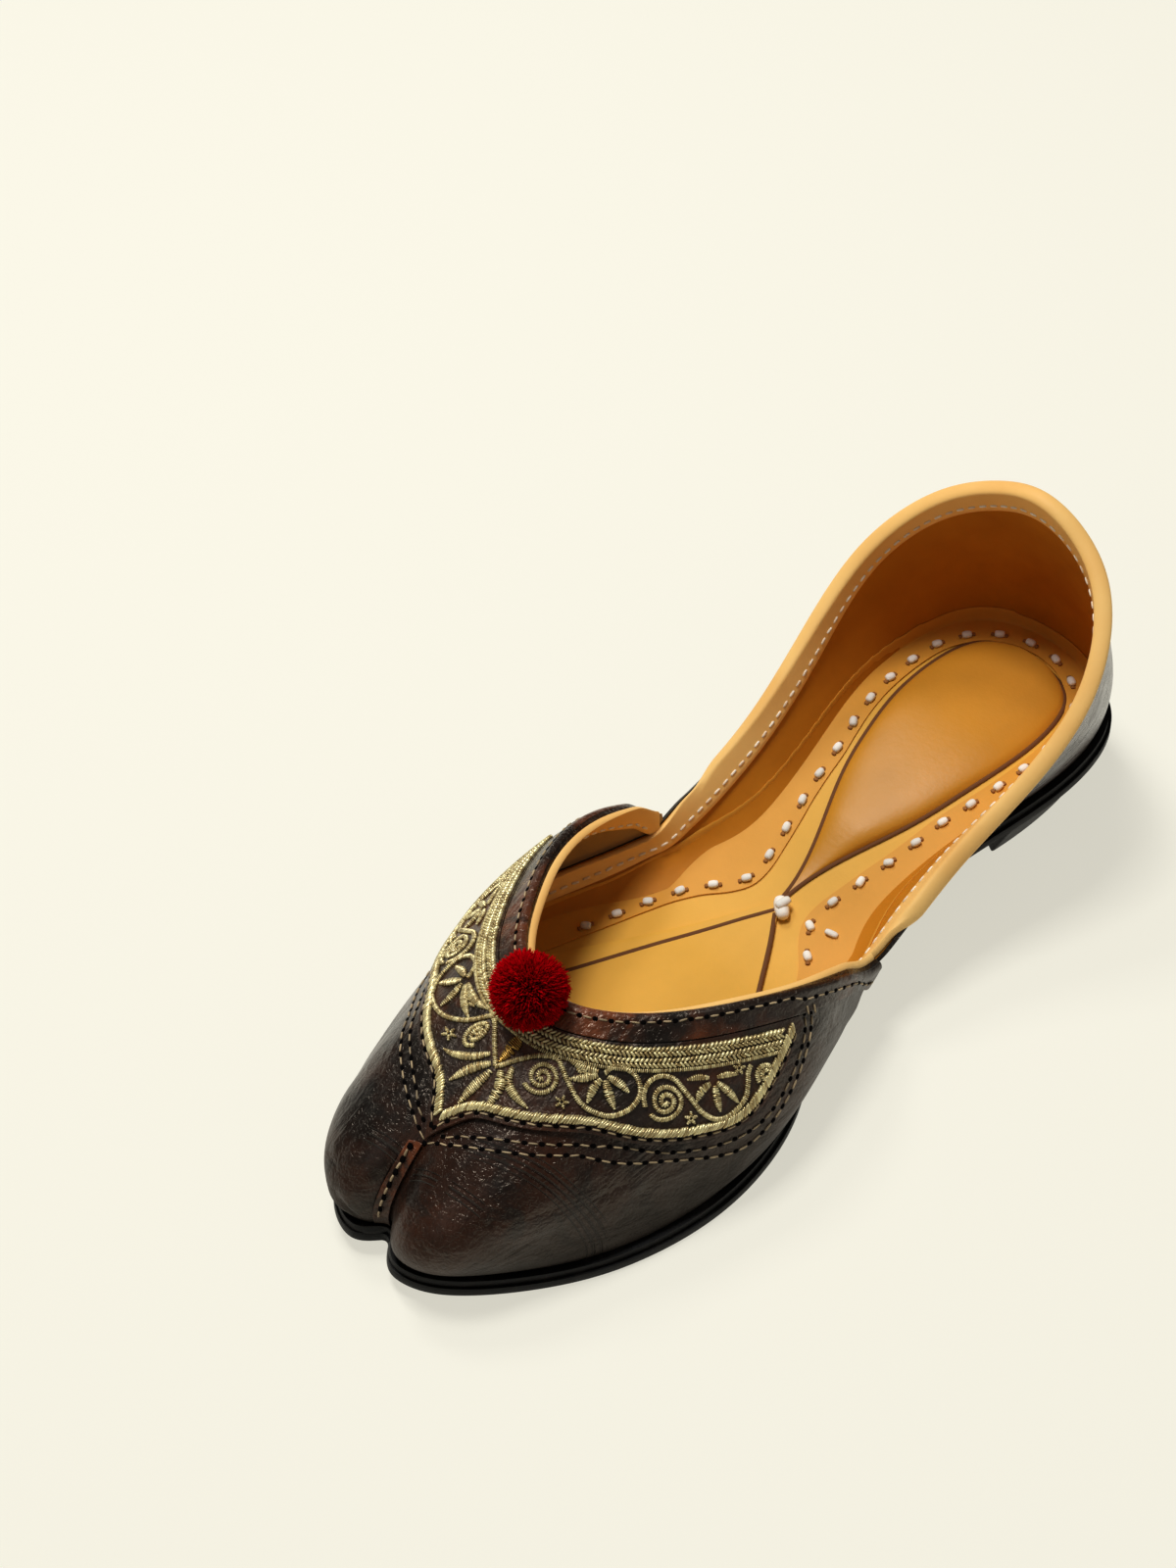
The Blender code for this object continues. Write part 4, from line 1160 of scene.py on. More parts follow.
class SHOE_OT_sole(bpy.types.Operator):
    """Outsole in two layers, and the stacked heel"""

    bl_idname = "shoe.sole"
    bl_label = "Sole and heel"

    def execute(self, context):
        leather = sole_material()
        low = sheet(
            "outsole",
            plate_place(lambda s: 0 * s, lambda along: underside(along) + SOLE_LAYER),
            (260, 24), SOLE_LAYER, bevel=0.0005, merge=True, level=True,
        )
        paint(low, leather, "sole_leather", "outsole")
        welt = sheet(
            "welt", plate_place(lambda s: 0 * s + WELT_INSET, sole_top),
            (260, 24), WELT_LAYER, bevel=0.0005, merge=True, level=True,
        )
        paint(welt, leather, "sole_leather")
        half = int(np.argmax(EDGE.points[:, 1] > SHANK_FRONT))
        side = EDGE.points[:half]

        def place(u, v, h):
            turn = np.linspace(0, 1, 401)
            away = np.abs(turn - 0.5)
            back = 1 - np.cos(np.clip(away / HEEL_ROUND, 0, 1) * math.pi / 2)
            along = HEEL_SETBACK + (HEEL_LENGTH - HEEL_SETBACK) * back
            reach = np.maximum(np.interp(along, side[:, 1], side[:, 0]) - HEEL_SETBACK, 0)
            front = away > HEEL_ROUND
            share = (0.5 - away) / (0.5 - HEEL_ROUND)
            full = np.interp(HEEL_LENGTH, side[:, 1], side[:, 0]) - HEEL_SETBACK
            out = np.where(front, full * share, reach) * np.sign(turn - 0.5)
            hollow = HEEL_BREAST * (1 - share**2)
            along = np.where(front, HEEL_LENGTH - hollow, along)
            x, y = np.interp(u, turn, out), np.interp(u, turn, along)
            top = underside(y) - 0.0001
            narrow = 1 + (HEEL_NARROWING - 1) * v
            return in_frame(np.stack([x * narrow, y, top * (1 - v)], -1))

        heel = sheet("heel", place, (220, 14), 0, merge=True)
        merged(heel, 2e-5)
        bpy.ops.object.mode_set(mode="EDIT")
        bpy.ops.mesh.select_all(action="SELECT")
        bpy.ops.mesh.fill_holes(sides=0)
        bpy.ops.mesh.select_all(action="SELECT")
        bpy.ops.mesh.normals_make_consistent(inside=False)
        bpy.ops.object.mode_set(mode="OBJECT")
        bevelled(heel, 0.0006)
        apply_all(heel)
        bpy.ops.object.shade_smooth_by_angle(angle=math.radians(40))
        paint(heel, leather, "sole_leather", "heel")
        return {"FINISHED"}


class SHOE_OT_insole(bpy.types.Operator):
    """Insole, the soft heel pad and the cover of the forefoot"""

    bl_idname = "shoe.insole"
    bl_label = "Insole"

    def execute(self, context):
        shade = tuple(context.scene.shoe.insole_colour)
        tan = tan_leather("insole_leather", shade, scaled(shade, 0.78))
        base = sheet(
            "insole", plate_place(insole_inset, insole_top),
            (240, 24), 0.0028, bevel=0.0004, merge=True, level=True,
        )
        paint(base, tan, "tan_leather", "insole")
        _, back = pad_half(PAD_POINT)

        def pad(u, v, h):
            width = 2 * v - 1
            along = back + slowed(u) * (PAD_POINT - CLEARANCE - back)
            half, _ = pad_half(along)
            full = ease(half / HEEL_PAD_MARGIN)
            edge = np.sqrt(np.clip(1 - np.abs(width) ** 2.6, 0, 1))
            crown = 0.0004 + HEEL_PAD_THICKNESS * full * edge
            up = insole_top(along) + CLEARANCE * 0.4 + crown + h
            return in_frame(np.stack([half * width, along, up], -1))

        heel = sheet("heel_pad", pad, (110, 40), 0.0004, merge=True, level=True)
        shade = tuple(context.scene.shoe.pad_colour)
        soft = tan_leather("pad_leather", shade, scaled(shade, 0.75), 0.42, 0.35, 0.4)
        paint(heel, soft, "tan_leather", "heel_pad")
        ahead = np.linspace(0.3, 0.95, 300)
        limit, _ = EDGE.at(ahead, insole_inset(ahead) + CLEARANCE)
        spread = FOREFOOT_PAD_SPREAD * 1.45

        def cover(u, v, h):
            along = PAD_POINT + CLEARANCE + u * (FOREFOOT_PAD_END - PAD_POINT)
            most = np.interp(along, limit[:, 1], limit[:, 0])
            out = np.minimum((along - PAD_POINT) * spread, most) * (2 * v - 1)
            up = insole_top(along) + CLEARANCE + FOREFOOT_PAD_THICKNESS + h
            return in_frame(np.stack([out, along, up], -1))

        front = sheet(
            "forefoot_pad", cover, (80, 24), FOREFOOT_PAD_THICKNESS, bevel=0.0002, merge=True,
            level=True,
        )
        paint(front, tan, "tan_leather", "forefoot_pad")
        return {"FINISHED"}


class SHOE_OT_upper(bpy.types.Operator):
    """Vamp and quarters, with the lining folded over their edges"""

    bl_idname = "shoe.upper"
    bl_label = "Upper"

    def execute(self, context):
        props = context.scene.shoe
        dark, warm = tuple(props.leather_dark), tuple(props.leather_warm)
        brown = brown_leather("vamp_leather", dark, warm, lines=PRESSED_LINES)
        vamp = sheet("vamp", vamp_place, (300, 100), WALL * VAMP_SHARE, bevel=0.0003)
        paint(vamp, brown, "brown_leather", "upper")
        quarters = sheet("quarters", quarter_place, (280, 60), WALL * QUARTER_SHARE)
        paint(quarters, brown, "brown_leather")
        # The tan lining, painted darker and deeper than its own colour as painted shade inside the
        # shoe.
        lining = tan_leather("lining_leather", (0.66, 0.27, 0.022), (0.42, 0.135, 0.006), 0.55)
        inner = sheet(
            "quarter_lining", lining_place(QUARTERS, 1.0, 0.025, QUARTER_SHARE), (240, 40),
            WALL * (1 - QUARTER_SHARE),
        )
        paint(inner, lining, "tan_lining")
        grey = tan_leather("vamp_lining_leather", (0.46, 0.3, 0.13), (0.3, 0.18, 0.07), 0.75)
        inner = sheet(
            "vamp_lining", lining_place(VAMP_SKIN, 0.94, 0.03, VAMP_SHARE), (240, 40),
            WALL * (1 - VAMP_SHARE),
        )
        paint(inner, grey, "tan_lining")
        # The same lining folded over the top edges, painted paler than the lining as painted light on
        # the edge.
        rim = tan_leather("fold_leather_painted_light", (1.0, 0.66, 0.25), (0.86, 0.47, 0.14), 0.5)
        place = fold_place(QUARTERS, 0.985, FOLD_LIP, FOLD_HIDDEN)
        top = sheet("topline_fold", place, (320, 44), FOLD_SHEET)
        paint(top, rim, "tan_lining", "topline_fold")
        throat = sheet("throat_fold", fold_place(VAMP_SKIN, 0.996, 0.0), (260, 44), FOLD_SHEET)
        paint(throat, rim, "tan_lining", "throat_fold")
        return {"FINISHED"}


class SHOE_OT_trims(bpy.types.Operator):
    """Throat band, embroidered panel and the lap of the toe seam"""

    bl_idname = "shoe.trims"
    bl_label = "Trims"

    def execute(self, context):
        props = context.scene.shoe
        dark, warm = tuple(props.leather_dark), tuple(props.leather_warm)
        brown = brown_leather("band_leather", scaled(dark, 3.2), scaled(warm, 2.3), 0.34, 1.2)
        band = sheet("throat_band", band_place, (300, 20), OVERLAY * 0.7, bevel=0.0002)
        paint(band, brown, "brown_leather", "throat_band")
        ground = brown_leather("panel_leather", scaled(dark, 2.6), warm, 0.45, 0.9)
        panel = sheet("embroidered_panel", panel_place, (260, 48), OVERLAY, bevel=0.00025)
        paint(panel, ground, "embroidered_leather", "embroidered_panel")
        seam = sheet("toe_seam", seam_place, (60, 8), SEAM_HEIGHT * 0.5, bevel=0.0001)
        paint(seam, brown, "brown_leather", "toe_seam")
        return {"FINISHED"}


class SHOE_OT_pompom(bpy.types.Operator):
    """A ball of brushed wool on the throat"""

    bl_idname = "shoe.pompom"
    bl_label = "Pompom"

    def execute(self, context):
        low, high = in_frame(VAMP_SKIN.beside(np.zeros(2), POMPOM_DROP, np.array([0, 0.01])))
        normal = unit(high - low)
        centre = low + normal * (CLEARANCE * 2 + OVERLAY + POMPOM_RISE)
        centre = centre + np.array(POMPOM_NUDGE)
        chance = np.random.default_rng(5)
        count = POMPOM_LOCKS
        aim = unit(chance.normal(size=(count, 3)))
        bent = unit(aim + LOCK_BEND * chance.normal(size=(count, 3)))
        side = unit(np.cross(aim, chance.normal(size=(count, 3))))
        wave = np.sin(aim @ np.array([5.0, 3.0, -4.0])) * np.cos(aim @ np.array([-3.0, 6.0, 2.0]))
        length = POMPOM_RADIUS * 0.92 * (1 + POMPOM_RUFFLE * wave)
        length = length * chance.uniform(0.94, 1.14, count)
        rings = []
        for share, thick in LOCK_RINGS:
            spine = aim * (1 - share) + bent * share
            spine = unit(spine) * (length * share)[:, None]
            wide = LOCK_THICKNESS * thick
            for turn in (0, 2.1, 4.2):
                other = np.cross(aim, side)
                rings.append(spine + wide * (side * math.cos(turn) + other * math.sin(turn)))
        points = np.stack(rings, 1)
        below = -POMPOM_RISE - points @ normal
        points = points + normal * np.maximum(below, 0)[..., None]
        faces = []
        for ring in range(3):
            for edge in range(3):
                a, b = ring * 3 + edge, ring * 3 + (edge + 1) % 3
                faces.append((a, b, b + 3, a + 3))
        faces.append((9, 10, 11))
        index = [[c + n * 12 for c in face] for n in range(count) for face in faces]
        tint = np.repeat(chance.random(count), 12)
        depth = np.linalg.norm(points, axis=2).ravel() / POMPOM_RADIUS
        thing = built("pompom", points + centre, index, tint=tint, depth=depth)
        wool = tuple(context.scene.shoe.wool_colour)
        made = Finish("red_wool")
        # Painted shade: each lock darkens towards the core of the ball, on top of its own random
        # tint.
        shade = (made.attribute("tint") * 0.5 + made.attribute("depth").rises(0.6, 1.15) * 0.6)
        colour = made.mix(shade.clip(), scaled(wool, 0.14), wool)
        red = made.set(Base_Color=colour, Roughness=1.0, Specular_IOR_Level=0.0)
        paint(thing, red, "red_wool", "pompom")
        clear()
        bpy.ops.mesh.primitive_ico_sphere_add(subdivisions=4, radius=POMPOM_RADIUS * POMPOM_CORE)
        core = bpy.context.object
        core.name = core.data.name = "pompom_core"
        for vert in core.data.vertices:
            point = np.array(vert.co)
            low_by = -POMPOM_RISE * 0.98 - point @ normal
            vert.co = point + normal * max(low_by, 0) + centre
        paint(core, red, "red_wool")
        return {"FINISHED"}


def curved(marks, count=60):
    """A smooth line through a few marks."""
    marks = np.asarray(marks, float)
    ends = np.concatenate([2 * marks[:1] - marks[1:2], marks, 2 * marks[-1:] - marks[-2:-1]])
    place = np.linspace(0, len(marks) - 1, count)
    low = np.clip(np.floor(place).astype(int), 0, len(marks) - 2)
    past = (place - low)[:, None]
    a, b, c, d = (ends[low + k] for k in range(4))
    bend = (2 * a - 5 * b + 4 * c - d) * past**2 + (3 * b - a - 3 * c + d) * past**3
    return (2 * b + (c - a) * past + bend) / 2


def on_vamp(shares, height):
    """Points over the vamp, and the directions out of it."""
    across, down = shares[:, 0], shares[:, 1]
    inner = np.clip(across, -INNER, INNER)
    normal = VAMP_SKIN.normals_of(VAMP_SKIN.section, inner, down)
    spots = drawn(in_frame(VAMP_SKIN.raised(across, down, height)), across, down)
    return spots, normal * (1, -1, 1)


def vamp_scale(across, down):
    """Metres along and down the vamp for one share across and one down, as a matrix."""
    step = 1e-3
    across, down = np.asarray(across, float), np.asarray(down, float)
    section = VAMP_SKIN.section
    along = (section(across + step, down) - section(across - step, down)) / (2 * step)
    below = (section(across, down + step) - section(across, down - step)) / (2 * step)
    first = unit(along)
    lean = (below * first).sum(-1, keepdims=True)
    plain = np.linalg.norm(below - first * lean, axis=-1)
    made = np.zeros((*across.shape, 2, 2))
    made[..., 0, 0] = np.linalg.norm(along, axis=-1)
    made[..., 0, 1] = lean[..., 0]
    made[..., 1, 1] = plain
    return made


def marked(spot, marks):
    """Marks in millimetres round a place on the vamp, as shares across and down."""
    back = np.linalg.inv(vamp_scale(*spot))
    return np.array(spot) + np.asarray(marks, float) * MILLIMETRE @ back.T


def shifted(shares, distance):
    """A line on the vamp moved sideways, towards the throat where the distance is positive."""
    scale = vamp_scale(shares[:, 0], shares[:, 1])
    run = np.einsum("nij,nj->ni", scale, np.gradient(shares, axis=0))
    side = unit(np.stack([run[:, 1], -run[:, 0]], 1)) * distance
    return shares + np.linalg.solve(scale, side[..., None])[..., 0]


def other_side(shares):
    """The same marks on the other half, where the pattern leans the same way."""
    across = shares[:, 0]
    lean = PATTERN_LEAN * np.clip(1 - across / PANEL_END, 0, 1) * ease(across / 0.05 + 0.4)
    return np.stack([lean - across, shares[:, 1]], 1)


def satin(shares, width, pitch, height, slant, widths=None, seed=3, fill=1.02):
    """Metallic thread laid side by side across a line on the panel."""
    points, normals = on_vamp(shares, PANEL_TOP)
    size = (width, pitch * fill, height)
    return along_path(
        points, normals, pitch, size, math.radians(slant), jitter=0.13, seed=seed, widths=widths
    )


def same_side(shares):
    return shares


def petal(spot, marks, seed, place=same_side):
    line = curved(np.array(marks[:6]).reshape(3, 2), 24)
    shares = place(marked(spot, line))
    full = np.sin(np.linspace(0.12, 0.97, 24) * math.pi) ** 0.75
    width = marks[6] * MILLIMETRE
    return satin(shares, width, THREAD_PITCH, PETAL_HEIGHT, 84, full, seed)


def spiral(motif):
    turn = np.linspace(0, 1, 70)
    angle = math.radians(motif["start"]) + turn * motif["turns"] * 2 * math.pi
    radius = motif["radius"] + (motif["last"] - motif["radius"]) * turn**0.85
    marks = np.stack([radius * np.cos(angle), radius * np.sin(angle)], 1)
    return marked((motif["across"], motif["down"]), marks)


def row(points, normals, pitch, size):
    """Stitches along a line, and the holes between them."""
    long, wide, high = size
    hole = ((pitch - long) * 0.9, wide * 2.3, high * 0.4)
    sewn = along_path(points, normals, pitch, size, jitter=0.06)
    return sewn, along_path(points, normals, pitch, hole, start=0.0)


def ribbon(name, path, normals, width, crown):
    """A narrow strip along a line, with its middle raised."""
    run = run_along(path)
    run = run / run[-1]
    ahead = unit(np.gradient(path, axis=0))
    aside = unit(np.cross(normals, ahead))

    def place(u, v, h):
        middle, out, side = (between(u, run, part) for part in (path, normals, aside))
        rise = crown * (1 - (2 * v - 1) ** 2) + h
        return middle + side * ((v - 0.5) * width)[:, None] + out * rise[:, None]

    return sheet(name, place, (min(400, len(path) * 3), 5), 0.0002)


class SHOE_OT_embroidery(bpy.types.Operator):
    """Metallic thread on the panel: palmettes, scrolls, vines, the chain and the rope edge"""

    bl_idname = "shoe.embroidery"
    bl_label = "Embroidery"

    def execute(self, context):
        props = context.scene.shoe
        light, deep = tuple(props.gold_light), tuple(props.gold_dark)
        gold = thread("gold_thread", deep, light, 0.3, 0.45)
        sewn = []
        seed = 10
        middle = (MIDDLE_PALMETTE["across"], MIDDLE_PALMETTE["down"])
        for marks in MIDDLE_PALMETTE["petals"]:
            seed += 1
            sewn.append(petal(middle, marks, seed))
        for place in (same_side, other_side):
            for motif in PALMETTES:
                for marks in motif["petals"]:
                    seed += 1
                    sewn.append(petal((motif["across"], motif["down"]), marks, seed, place))
            lines = [(curved(vine, 140), VINE_THREAD) for vine in VINES]
            lines += [(spiral(motif), SPIRAL_THREAD) for motif in SPIRALS]
            for shares, (width, height) in lines:
                seed += 1
                sewn.append(satin(place(shares), width, THREAD_PITCH, height, 76, seed=seed))
            for spot in FLOWERS:
                for angle in range(0, 360, 72):
                    seed += 1
                    x, y = math.cos(math.radians(angle)), math.sin(math.radians(angle))
                    marks = (0.3 * x, 0.3 * y, x, y, 1.6 * x, 1.6 * y, 0.9)
                    sewn.append(petal(spot, marks, seed, place))
        far = np.linspace(0.0, 1.0, 500)
        for side in (1, -1):
            across = far * PANEL_END * TOP_ROW_END
            edge = np.stack([side * across, panel_edge(across)], 1)
            rope = shifted(edge, side * ROPE_INSET)
            rope = rope[rope[:, 0] * side > MIDDLE_GAP]
            sewn.append(satin(rope, *ROPE_THREAD, side * ROPE_SLANT, seed=40 + side))
            for distance, slant, width, pitch in CHAIN:
                last = CHAIN_END - 0.004 * max(0, distance - 8)
                across = np.linspace(0.0, last, 300) * side
                reach = (distance + 1.1 * (np.abs(across) / CHAIN_END) ** 3) * MILLIMETRE
                shares = np.stack([across, VAMP_SKIN.down_at(across, reach)], 1)
                sewn.append(satin(
                    shares, width, pitch, CHAIN_HEIGHT, side * slant,
                    seed=int(distance * 10), fill=0.68,
                ))
        stitches = strewn("gold_embroidery", bead(6, 4), together(sewn), 7)
        paint(stitches, gold, "embroidered_leather")
        bud = thread("bud_thread", (0.36, 0.2, 0.04), (0.86, 0.58, 0.17), 0.3, 0.85)
        line = curved(np.array(MIDDLE_BUD[:6]).reshape(3, 2), 30)
        full = np.sqrt(np.clip(1.12 - np.linspace(0, 1, 30) ** 4, 0, 1))
        full = full * np.linspace(0.1, 1, 30) ** 0.8
        width, height = BUD_THREAD
        drop = satin(marked(middle, line), width, THREAD_PITCH, height, 88, full)
        paint(strewn("bud", bead(6, 4), drop, 8), bud, "embroidered_leather")
        return {"FINISHED"}


class SHOE_OT_stitches(bpy.types.Operator):
    """Cream thread and its needle holes: throat band, panel, vamp, toe seam and folds"""

    bl_idname = "shoe.stitches"
    bl_label = "Stitches"

    def execute(self, context):
        props = context.scene.shoe
        light = tuple(props.thread_colour)
        cream = thread("cream_thread", scaled(light, 0.45), light, 0.55)
        # Near-black marks between the stitches: painted shade in the needle holes.
        dark = Finish("needle_hole_shade").set(
            Base_Color=(0.004, 0.003, 0.003), Roughness=0.95, Specular_IOR_Level=0.05
        )
        sewn, holes = [], []

        def add(points, normals, pitch, size):
            made, cut = row(points, normals, pitch, size)
            sewn.append(made)
            holes.append(cut)

        reach = np.linspace(0.0, TOP_ROW_END, 400)
        for side in (1, -1):
            across = trimmed(reach * side)
            # Closer to the edge at the sides, and further from it on the wings.
            far = 0.0028 - 0.0006 * ease(reach / 0.7) + 0.0014 * ease((reach - 0.72) / 0.04)
            shares = np.stack([across, VAMP_SKIN.down_at(across, far)], 1)
            add(*on_vamp(shares, PANEL_TOP), *BAND_SEWING)
            across = reach * PANEL_END
            edge = np.stack([side * across, panel_edge(across)], 1)
            near = shifted(edge, side * EDGE_ROW_INSET)
            add(*on_vamp(near[near[:, 0] * side > MIDDLE_GAP], PANEL_TOP), *PANEL_SEWING)
            for marks in VAMP_ROWS:
                shares = curved(marks, 200) * (side, 1)
                band = VAMP_SKIN.down_at(shares[:, 0], np.full(200, THROAT_BAND + 0.0004))
                over = np.where(shares[:, 1] < band, PANEL_TOP, 0.0)
                add(*on_vamp(shares, over), *VAMP_SEWING)
        down = np.linspace(panel_edge(0.0) + 0.045, 0.93, 60)
        shares = np.stack([-0.0021 / seam_spread(down), down], 1)
        add(*on_vamp(shares, CLEARANCE + SEAM_HEIGHT), *SEAM_SEWING)
        stitches = strewn("cream_stitches", bead(8, 5), together(sewn), 3)
        paint(stitches, cream, "brown_leather")
        pricked = strewn("needle_holes", bead(6, 4), together(holes), 4)
        paint(pricked, dark, "brown_leather")
        inside = []
        full = CLEARANCE + FOLD_THICKNESS
        for skin, end in ((QUARTERS, TOP_ROW_END), (VAMP_SKIN, VAMP_FOLD_ROW_END)):
            across = np.linspace(-end, end, 900)
            distance = np.full_like(across, FOLD_ROW)
            points = in_frame(skin.beside(across, distance, -WALL - full + 0.0001))
            if skin is VAMP_SKIN:
                points = drawn(points, across, distance / WING_DEPTH)
            inner = skin.normals_of(
                skin.section, np.clip(across, -INNER, INNER), skin.down_at(across, distance)
            )
            inside.append(along_path(points, inner * (-1, 1, -1), *FOLD_SEWING, jitter=0.05))
        pale = thread("fold_thread", (0.8, 0.6, 0.4), (1.0, 0.92, 0.78), 0.55)
        stitches = strewn("fold_stitches", bead(8, 5), together(inside), 5)
        paint(stitches, pale, "tan_lining")
        return {"FINISHED"}


def pad_half(along):
    """Half the width of the heel pad at a place along the sole, which is 0 past its ends, and
    where its back edge is."""
    shares = np.linspace(0, 0.6, 200)
    line, _ = EDGE.at(shares, insole_inset(shares) + HEEL_PAD_MARGIN)
    back = line[0, 1]
    line = line[np.argsort(line[:, 1])]
    line = line[line[:, 1] >= back]
    half = np.interp(along, line[:, 1], np.maximum(line[:, 0], 0)) * (along > back)
    return half * (1 - ease((along - PAD_TAPER) / (PAD_POINT - PAD_TAPER)) ** 1.5), back


def lace_line(extra=0.0):
    """Where the laces run on one side. Extra moves the line towards the middle."""
    line = curved(np.array(LACE_MARKS) * MILLIMETRE, 300)
    run = unit(np.gradient(line, axis=0))
    return line + np.stack([-run[:, 1], run[:, 0]], 1) * extra


def laid(line, height, side=1):
    """A plan line set down on the insole."""
    out, along = line[:, 0] * side, line[:, 1]
    points = in_frame(np.stack([out, along, insole_top(along) + height], 1))
    return points, np.tile([0.0, 0.0, 1.0], (len(line), 1))


class SHOE_OT_laces(bpy.types.Operator):
    """Lining turned in over the insole, the thick white lace, its knot and the brown seams"""

    bl_idname = "shoe.laces"
    bl_label = "Laces"

    def execute(self, context):
        props = context.scene.shoe
        shade = tuple(props.strip_colour)
        turned = tan_leather("turned_lining", shade, scaled(shade, 0.78), 0.5, 0.5)
        shares = np.linspace(0, 0.64, 160)
        line = lace_line(0.0022)
        edge, _ = EDGE.at(shares)
        where = np.interp(edge[:, 1], line[:, 1], np.arange(len(line)))
        level_with = int(np.argmax(edge[:, 1] > 0.04))
        where[:level_with] = where[level_with] * np.arange(level_with) / level_with
        wall = []
        for share in shares:
            side = QUARTERS.across_at(share)
            level = np.linspace(0.1, 1, 60)
            inner = QUARTERS.raised(np.full(60, side), level, -WALL - CLEARANCE)
            rise = inner[:, 2] - insole_top(inner[:, 1])
            wall.append(inner[np.argmin(np.abs(rise - TURNED_RISE))])
        wall = np.array(wall)
        inner_line = between(where, np.arange(len(line)), line)

        def place(u, v, h):
            turn = np.abs(2 * u - 1) * (len(shares) - 1)
            side = np.where(u < 0.5, -1.0, 1.0)
            top = between(turn, np.arange(len(shares)), wall)
            low = between(turn, np.arange(len(shares)), inner_line)
            part = np.clip((v - 0.18) / 0.82, 0, 1)
            reach = np.interp(v, (0, TURNED_BEND[0], 1), (0, TURNED_BEND[1], 1))
            plan = top[:, :2] * (1 - reach)[:, None] + low * reach[:, None]
            base = insole_top(plan[:, 1]) + 0.0006
            rise = np.maximum(top[:, 2] - base, 0) * (1 - ease(v / 0.34)) ** 1.6
            made = np.stack([plan[:, 0] * side, plan[:, 1], base + rise - part * 0.0001 + h], 1)
            return in_frame(made)

        flange = sheet("turned_lining", place, (280, 30), 0.00045, level=True)
        paint(flange, turned, "tan_lining")
        sewn, holes = [], []
        for side in (1, -1):
            line = lace_line()
            points, normals = laid(line[line[:, 1] < LACE_END], LACE_HEIGHT, side)
            sewn.append(along_path(points, normals, *LACE_SEWING, jitter=0.3, seed=8 + side))
            for shift in (0.29, 0.71):
                holes.append(along_path(points, normals, *LACE_HOLE_SHADOWS, start=shift))
        for ends, height, size, slant in KNOTS:
            points, normals = laid(np.array(ends) * MILLIMETRE, height)
            sewn.append(along_path(points, normals, size[0], size, slant))
        white = tuple(props.lace_colour)
        lace = thread("white_lace", scaled(white, 0.72), white, 0.7)
        paint(strewn("laces", bead(10, 7), together(sewn), 6), lace, "tan_leather")
        # Painted shadow: brown marks at the holes beside the laces.
        dark = Finish("lace_hole_shadow").set(Base_Color=(0.36, 0.16, 0.045), Roughness=0.9)
        paint(strewn("lace_holes", bead(8, 4), together(holes), 9), dark, "tan_leather")
        # Dark brown strips along the seams of the forefoot cover, and round the heel pad as painted
        # shade in its groove.
        seam = Finish("seam_line_and_groove_shade").set(Base_Color=(0.17, 0.065, 0.016), Roughness=0.8)
        _, back = pad_half(PAD_POINT)
        run = PAD_POINT - back - GROOVE_SHORT
        along = back + GROOVE_GAP + slowed(np.linspace(0.0, 1.0, 160)) * run
        half = pad_half(along)[0] + CLEARANCE
        rim = np.concatenate([np.stack([-half, along], 1)[::-1], np.stack([half, along], 1)])
        paint(ribbon("pad_groove", *laid(rim, 0.0004), 0.0012, 0.0003), seam, "tan_leather")
        for name, marks in COVER_SEAMS:
            line = curved(np.array(marks) * MILLIMETRE, 80)
            points, normals = laid(line, CLEARANCE + FOREFOOT_PAD_THICKNESS)
            paint(ribbon(name, points, normals, 0.0011, 0.0002), seam, "tan_leather")
        return {"FINISHED"}


class SHOE_OT_stage(bpy.types.Operator):
    """Pale floor, soft lights and the camera"""

    bl_idname = "shoe.stage"
    bl_label = "Stage"

    def execute(self, context):
        props = context.scene.shoe
        clear()
        bpy.ops.mesh.primitive_plane_add(size=8, location=(0, 0, -0.0002))
        floor = context.object
        floor.name = "floor"
        made = Finish("floor_paper")
        paper = tuple(props.floor_colour)
        floor.data.materials.append(made.set(
            Base_Color=scaled(paper, 0.3), Roughness=0.9, Specular_IOR_Level=0.1,
            Emission_Color=paper, Emission_Strength=PAPER_GLOW,
        ))
        world = bpy.data.worlds.new("soft_room")
        context.scene.world = world
        world.use_nodes = True
        ground = world.node_tree.nodes["Background"]
        ground.inputs["Color"].default_value = (1.0, 0.98, 0.94, 1)
        ground.inputs["Strength"].default_value = props.room_light
        for name, place, size, share in LAMPS:
            light = bpy.data.lights.new(name, "AREA")
            light.shape = "SQUARE"
            light.size = size
            light.energy = props.key_light * share
            lamp = bpy.data.objects.new(name, light)
            lamp.location = place
            aim = Vector((0, 0, 0.02)) - Vector(place)
            lamp.rotation_euler = aim.to_track_quat("-Z", "Y").to_euler()
            context.scene.collection.objects.link(lamp)
        azimuth, elevation, roll = (math.radians(angle) for angle in CAMERA_ANGLES)
        back = Vector((
            math.sin(azimuth) * math.cos(elevation),
            -math.cos(azimuth) * math.cos(elevation),
            math.sin(elevation),
        ))
        right = Vector((math.cos(azimuth), math.sin(azimuth), 0))
        up = right.cross(-back)
        across = right * math.cos(roll) + up * math.sin(roll)
        above = up * math.cos(roll) - right * math.sin(roll)
        lens = bpy.data.cameras.new("camera")
        lens.sensor_fit = "AUTO"
        lens.sensor_width = SENSOR
        lens.lens = FOCAL_SHARE * SENSOR
        lens.clip_start = 0.01
        camera = bpy.data.objects.new("camera", lens)
        turn = Matrix((across, above, back)).transposed().to_4x4()
        spot = Vector(CAMERA_AIM) + back * CAMERA_DISTANCE
        camera.matrix_world = Matrix.Translation(spot) @ turn
        context.scene.collection.objects.link(camera)
        context.scene.camera = camera
        context.scene.view_settings.view_transform = "Standard"
        context.scene.view_settings.gamma = PICTURE_GAMMA
        return {"FINISHED"}


def colour_setting(name, description, default):
    return bpy.props.FloatVectorProperty(
        name=name, description=description, subtype="COLOR", size=3, default=default, min=0, max=1,
    )


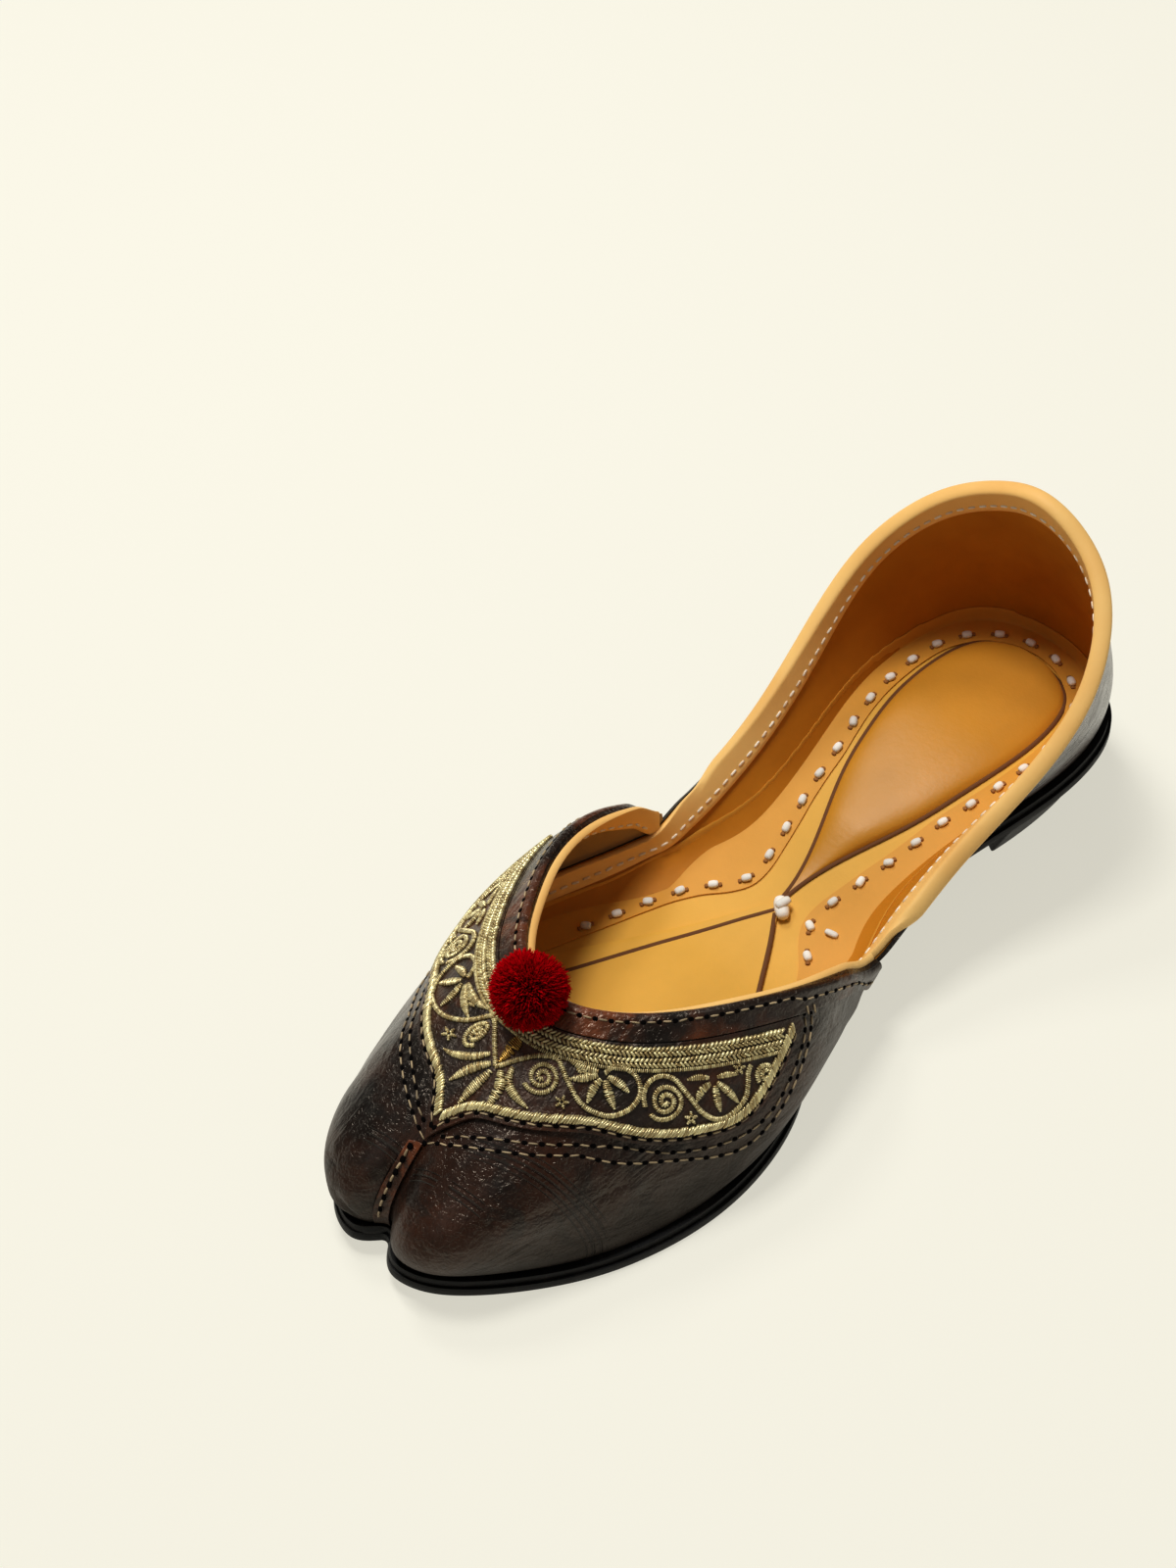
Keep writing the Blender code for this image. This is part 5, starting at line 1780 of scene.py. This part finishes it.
class ShoeSettings(bpy.types.PropertyGroup):
    leather_dark: colour_setting("Leather", "Main colour of the upper", (0.007, 0.0036, 0.0024))
    leather_warm: colour_setting(
        "Burnish", "Warmer brown where the upper is rubbed", (0.1, 0.028, 0.009)
    )
    insole_colour: colour_setting("Insole", "Insole and cover of the forefoot", (0.86, 0.49, 0.08))
    pad_colour: colour_setting("Heel pad", "Colour of the soft heel pad", (0.68, 0.32, 0.033))
    strip_colour: colour_setting(
        "Turned lining", "Colour of the lining turned in over the insole", (0.8, 0.4, 0.06)
    )
    gold_light: colour_setting("Gold", "Bright metallic thread", (1.0, 0.9, 0.52))
    gold_dark: colour_setting("Old gold", "Darker metallic thread", (0.3, 0.18, 0.045))
    thread_colour: colour_setting("Sewing thread", "Stitches of the upper", (0.6, 0.46, 0.27))
    lace_colour: colour_setting("Lace", "Thick lace of the insole", (1.0, 0.97, 0.88))
    wool_colour: colour_setting("Wool", "Colour of the pompom", (0.62, 0.0008, 0.006))
    floor_colour: colour_setting(
        "Floor colour", "Colour of the paper under the shoe", (0.955, 0.93, 0.82)
    )
    room_light: bpy.props.FloatProperty(
        name="Room light", description="Strength of the soft light from all round",
        default=0.12, min=0, max=5,
    )
    key_light: bpy.props.FloatProperty(
        name="Key light", description="Power of the lamp above", subtype="POWER",
        default=11.2, min=0, max=500,
    )


OPERATORS = (
    SHOE_OT_stage,
    SHOE_OT_sole,
    SHOE_OT_insole,
    SHOE_OT_upper,
    SHOE_OT_trims,
    SHOE_OT_embroidery,
    SHOE_OT_stitches,
    SHOE_OT_laces,
    SHOE_OT_pompom,
)


class SHOE_PT_panel(bpy.types.Panel):
    bl_label = "Mojari shoe"
    bl_idname = "SHOE_PT_panel"
    bl_space_type = "VIEW_3D"
    bl_region_type = "UI"
    bl_category = "Shoe"

    def draw(self, context):
        for name in ShoeSettings.__annotations__:
            self.layout.prop(context.scene.shoe, name)
        for operator in OPERATORS:
            self.layout.operator(operator.bl_idname)


CLASSES = (ShoeSettings, *OPERATORS, SHOE_PT_panel)


def register():
    for item in CLASSES:
        bpy.utils.register_class(item)
    bpy.types.Scene.shoe = bpy.props.PointerProperty(type=ShoeSettings)


def unregister():
    del bpy.types.Scene.shoe
    for item in reversed(CLASSES):
        bpy.utils.unregister_class(item)


def main():
    register()
    for operator in OPERATORS:
        group, name = operator.bl_idname.split(".")
        getattr(getattr(bpy.ops, group), name)()
    clear()


if __name__ == "__main__":
    main()
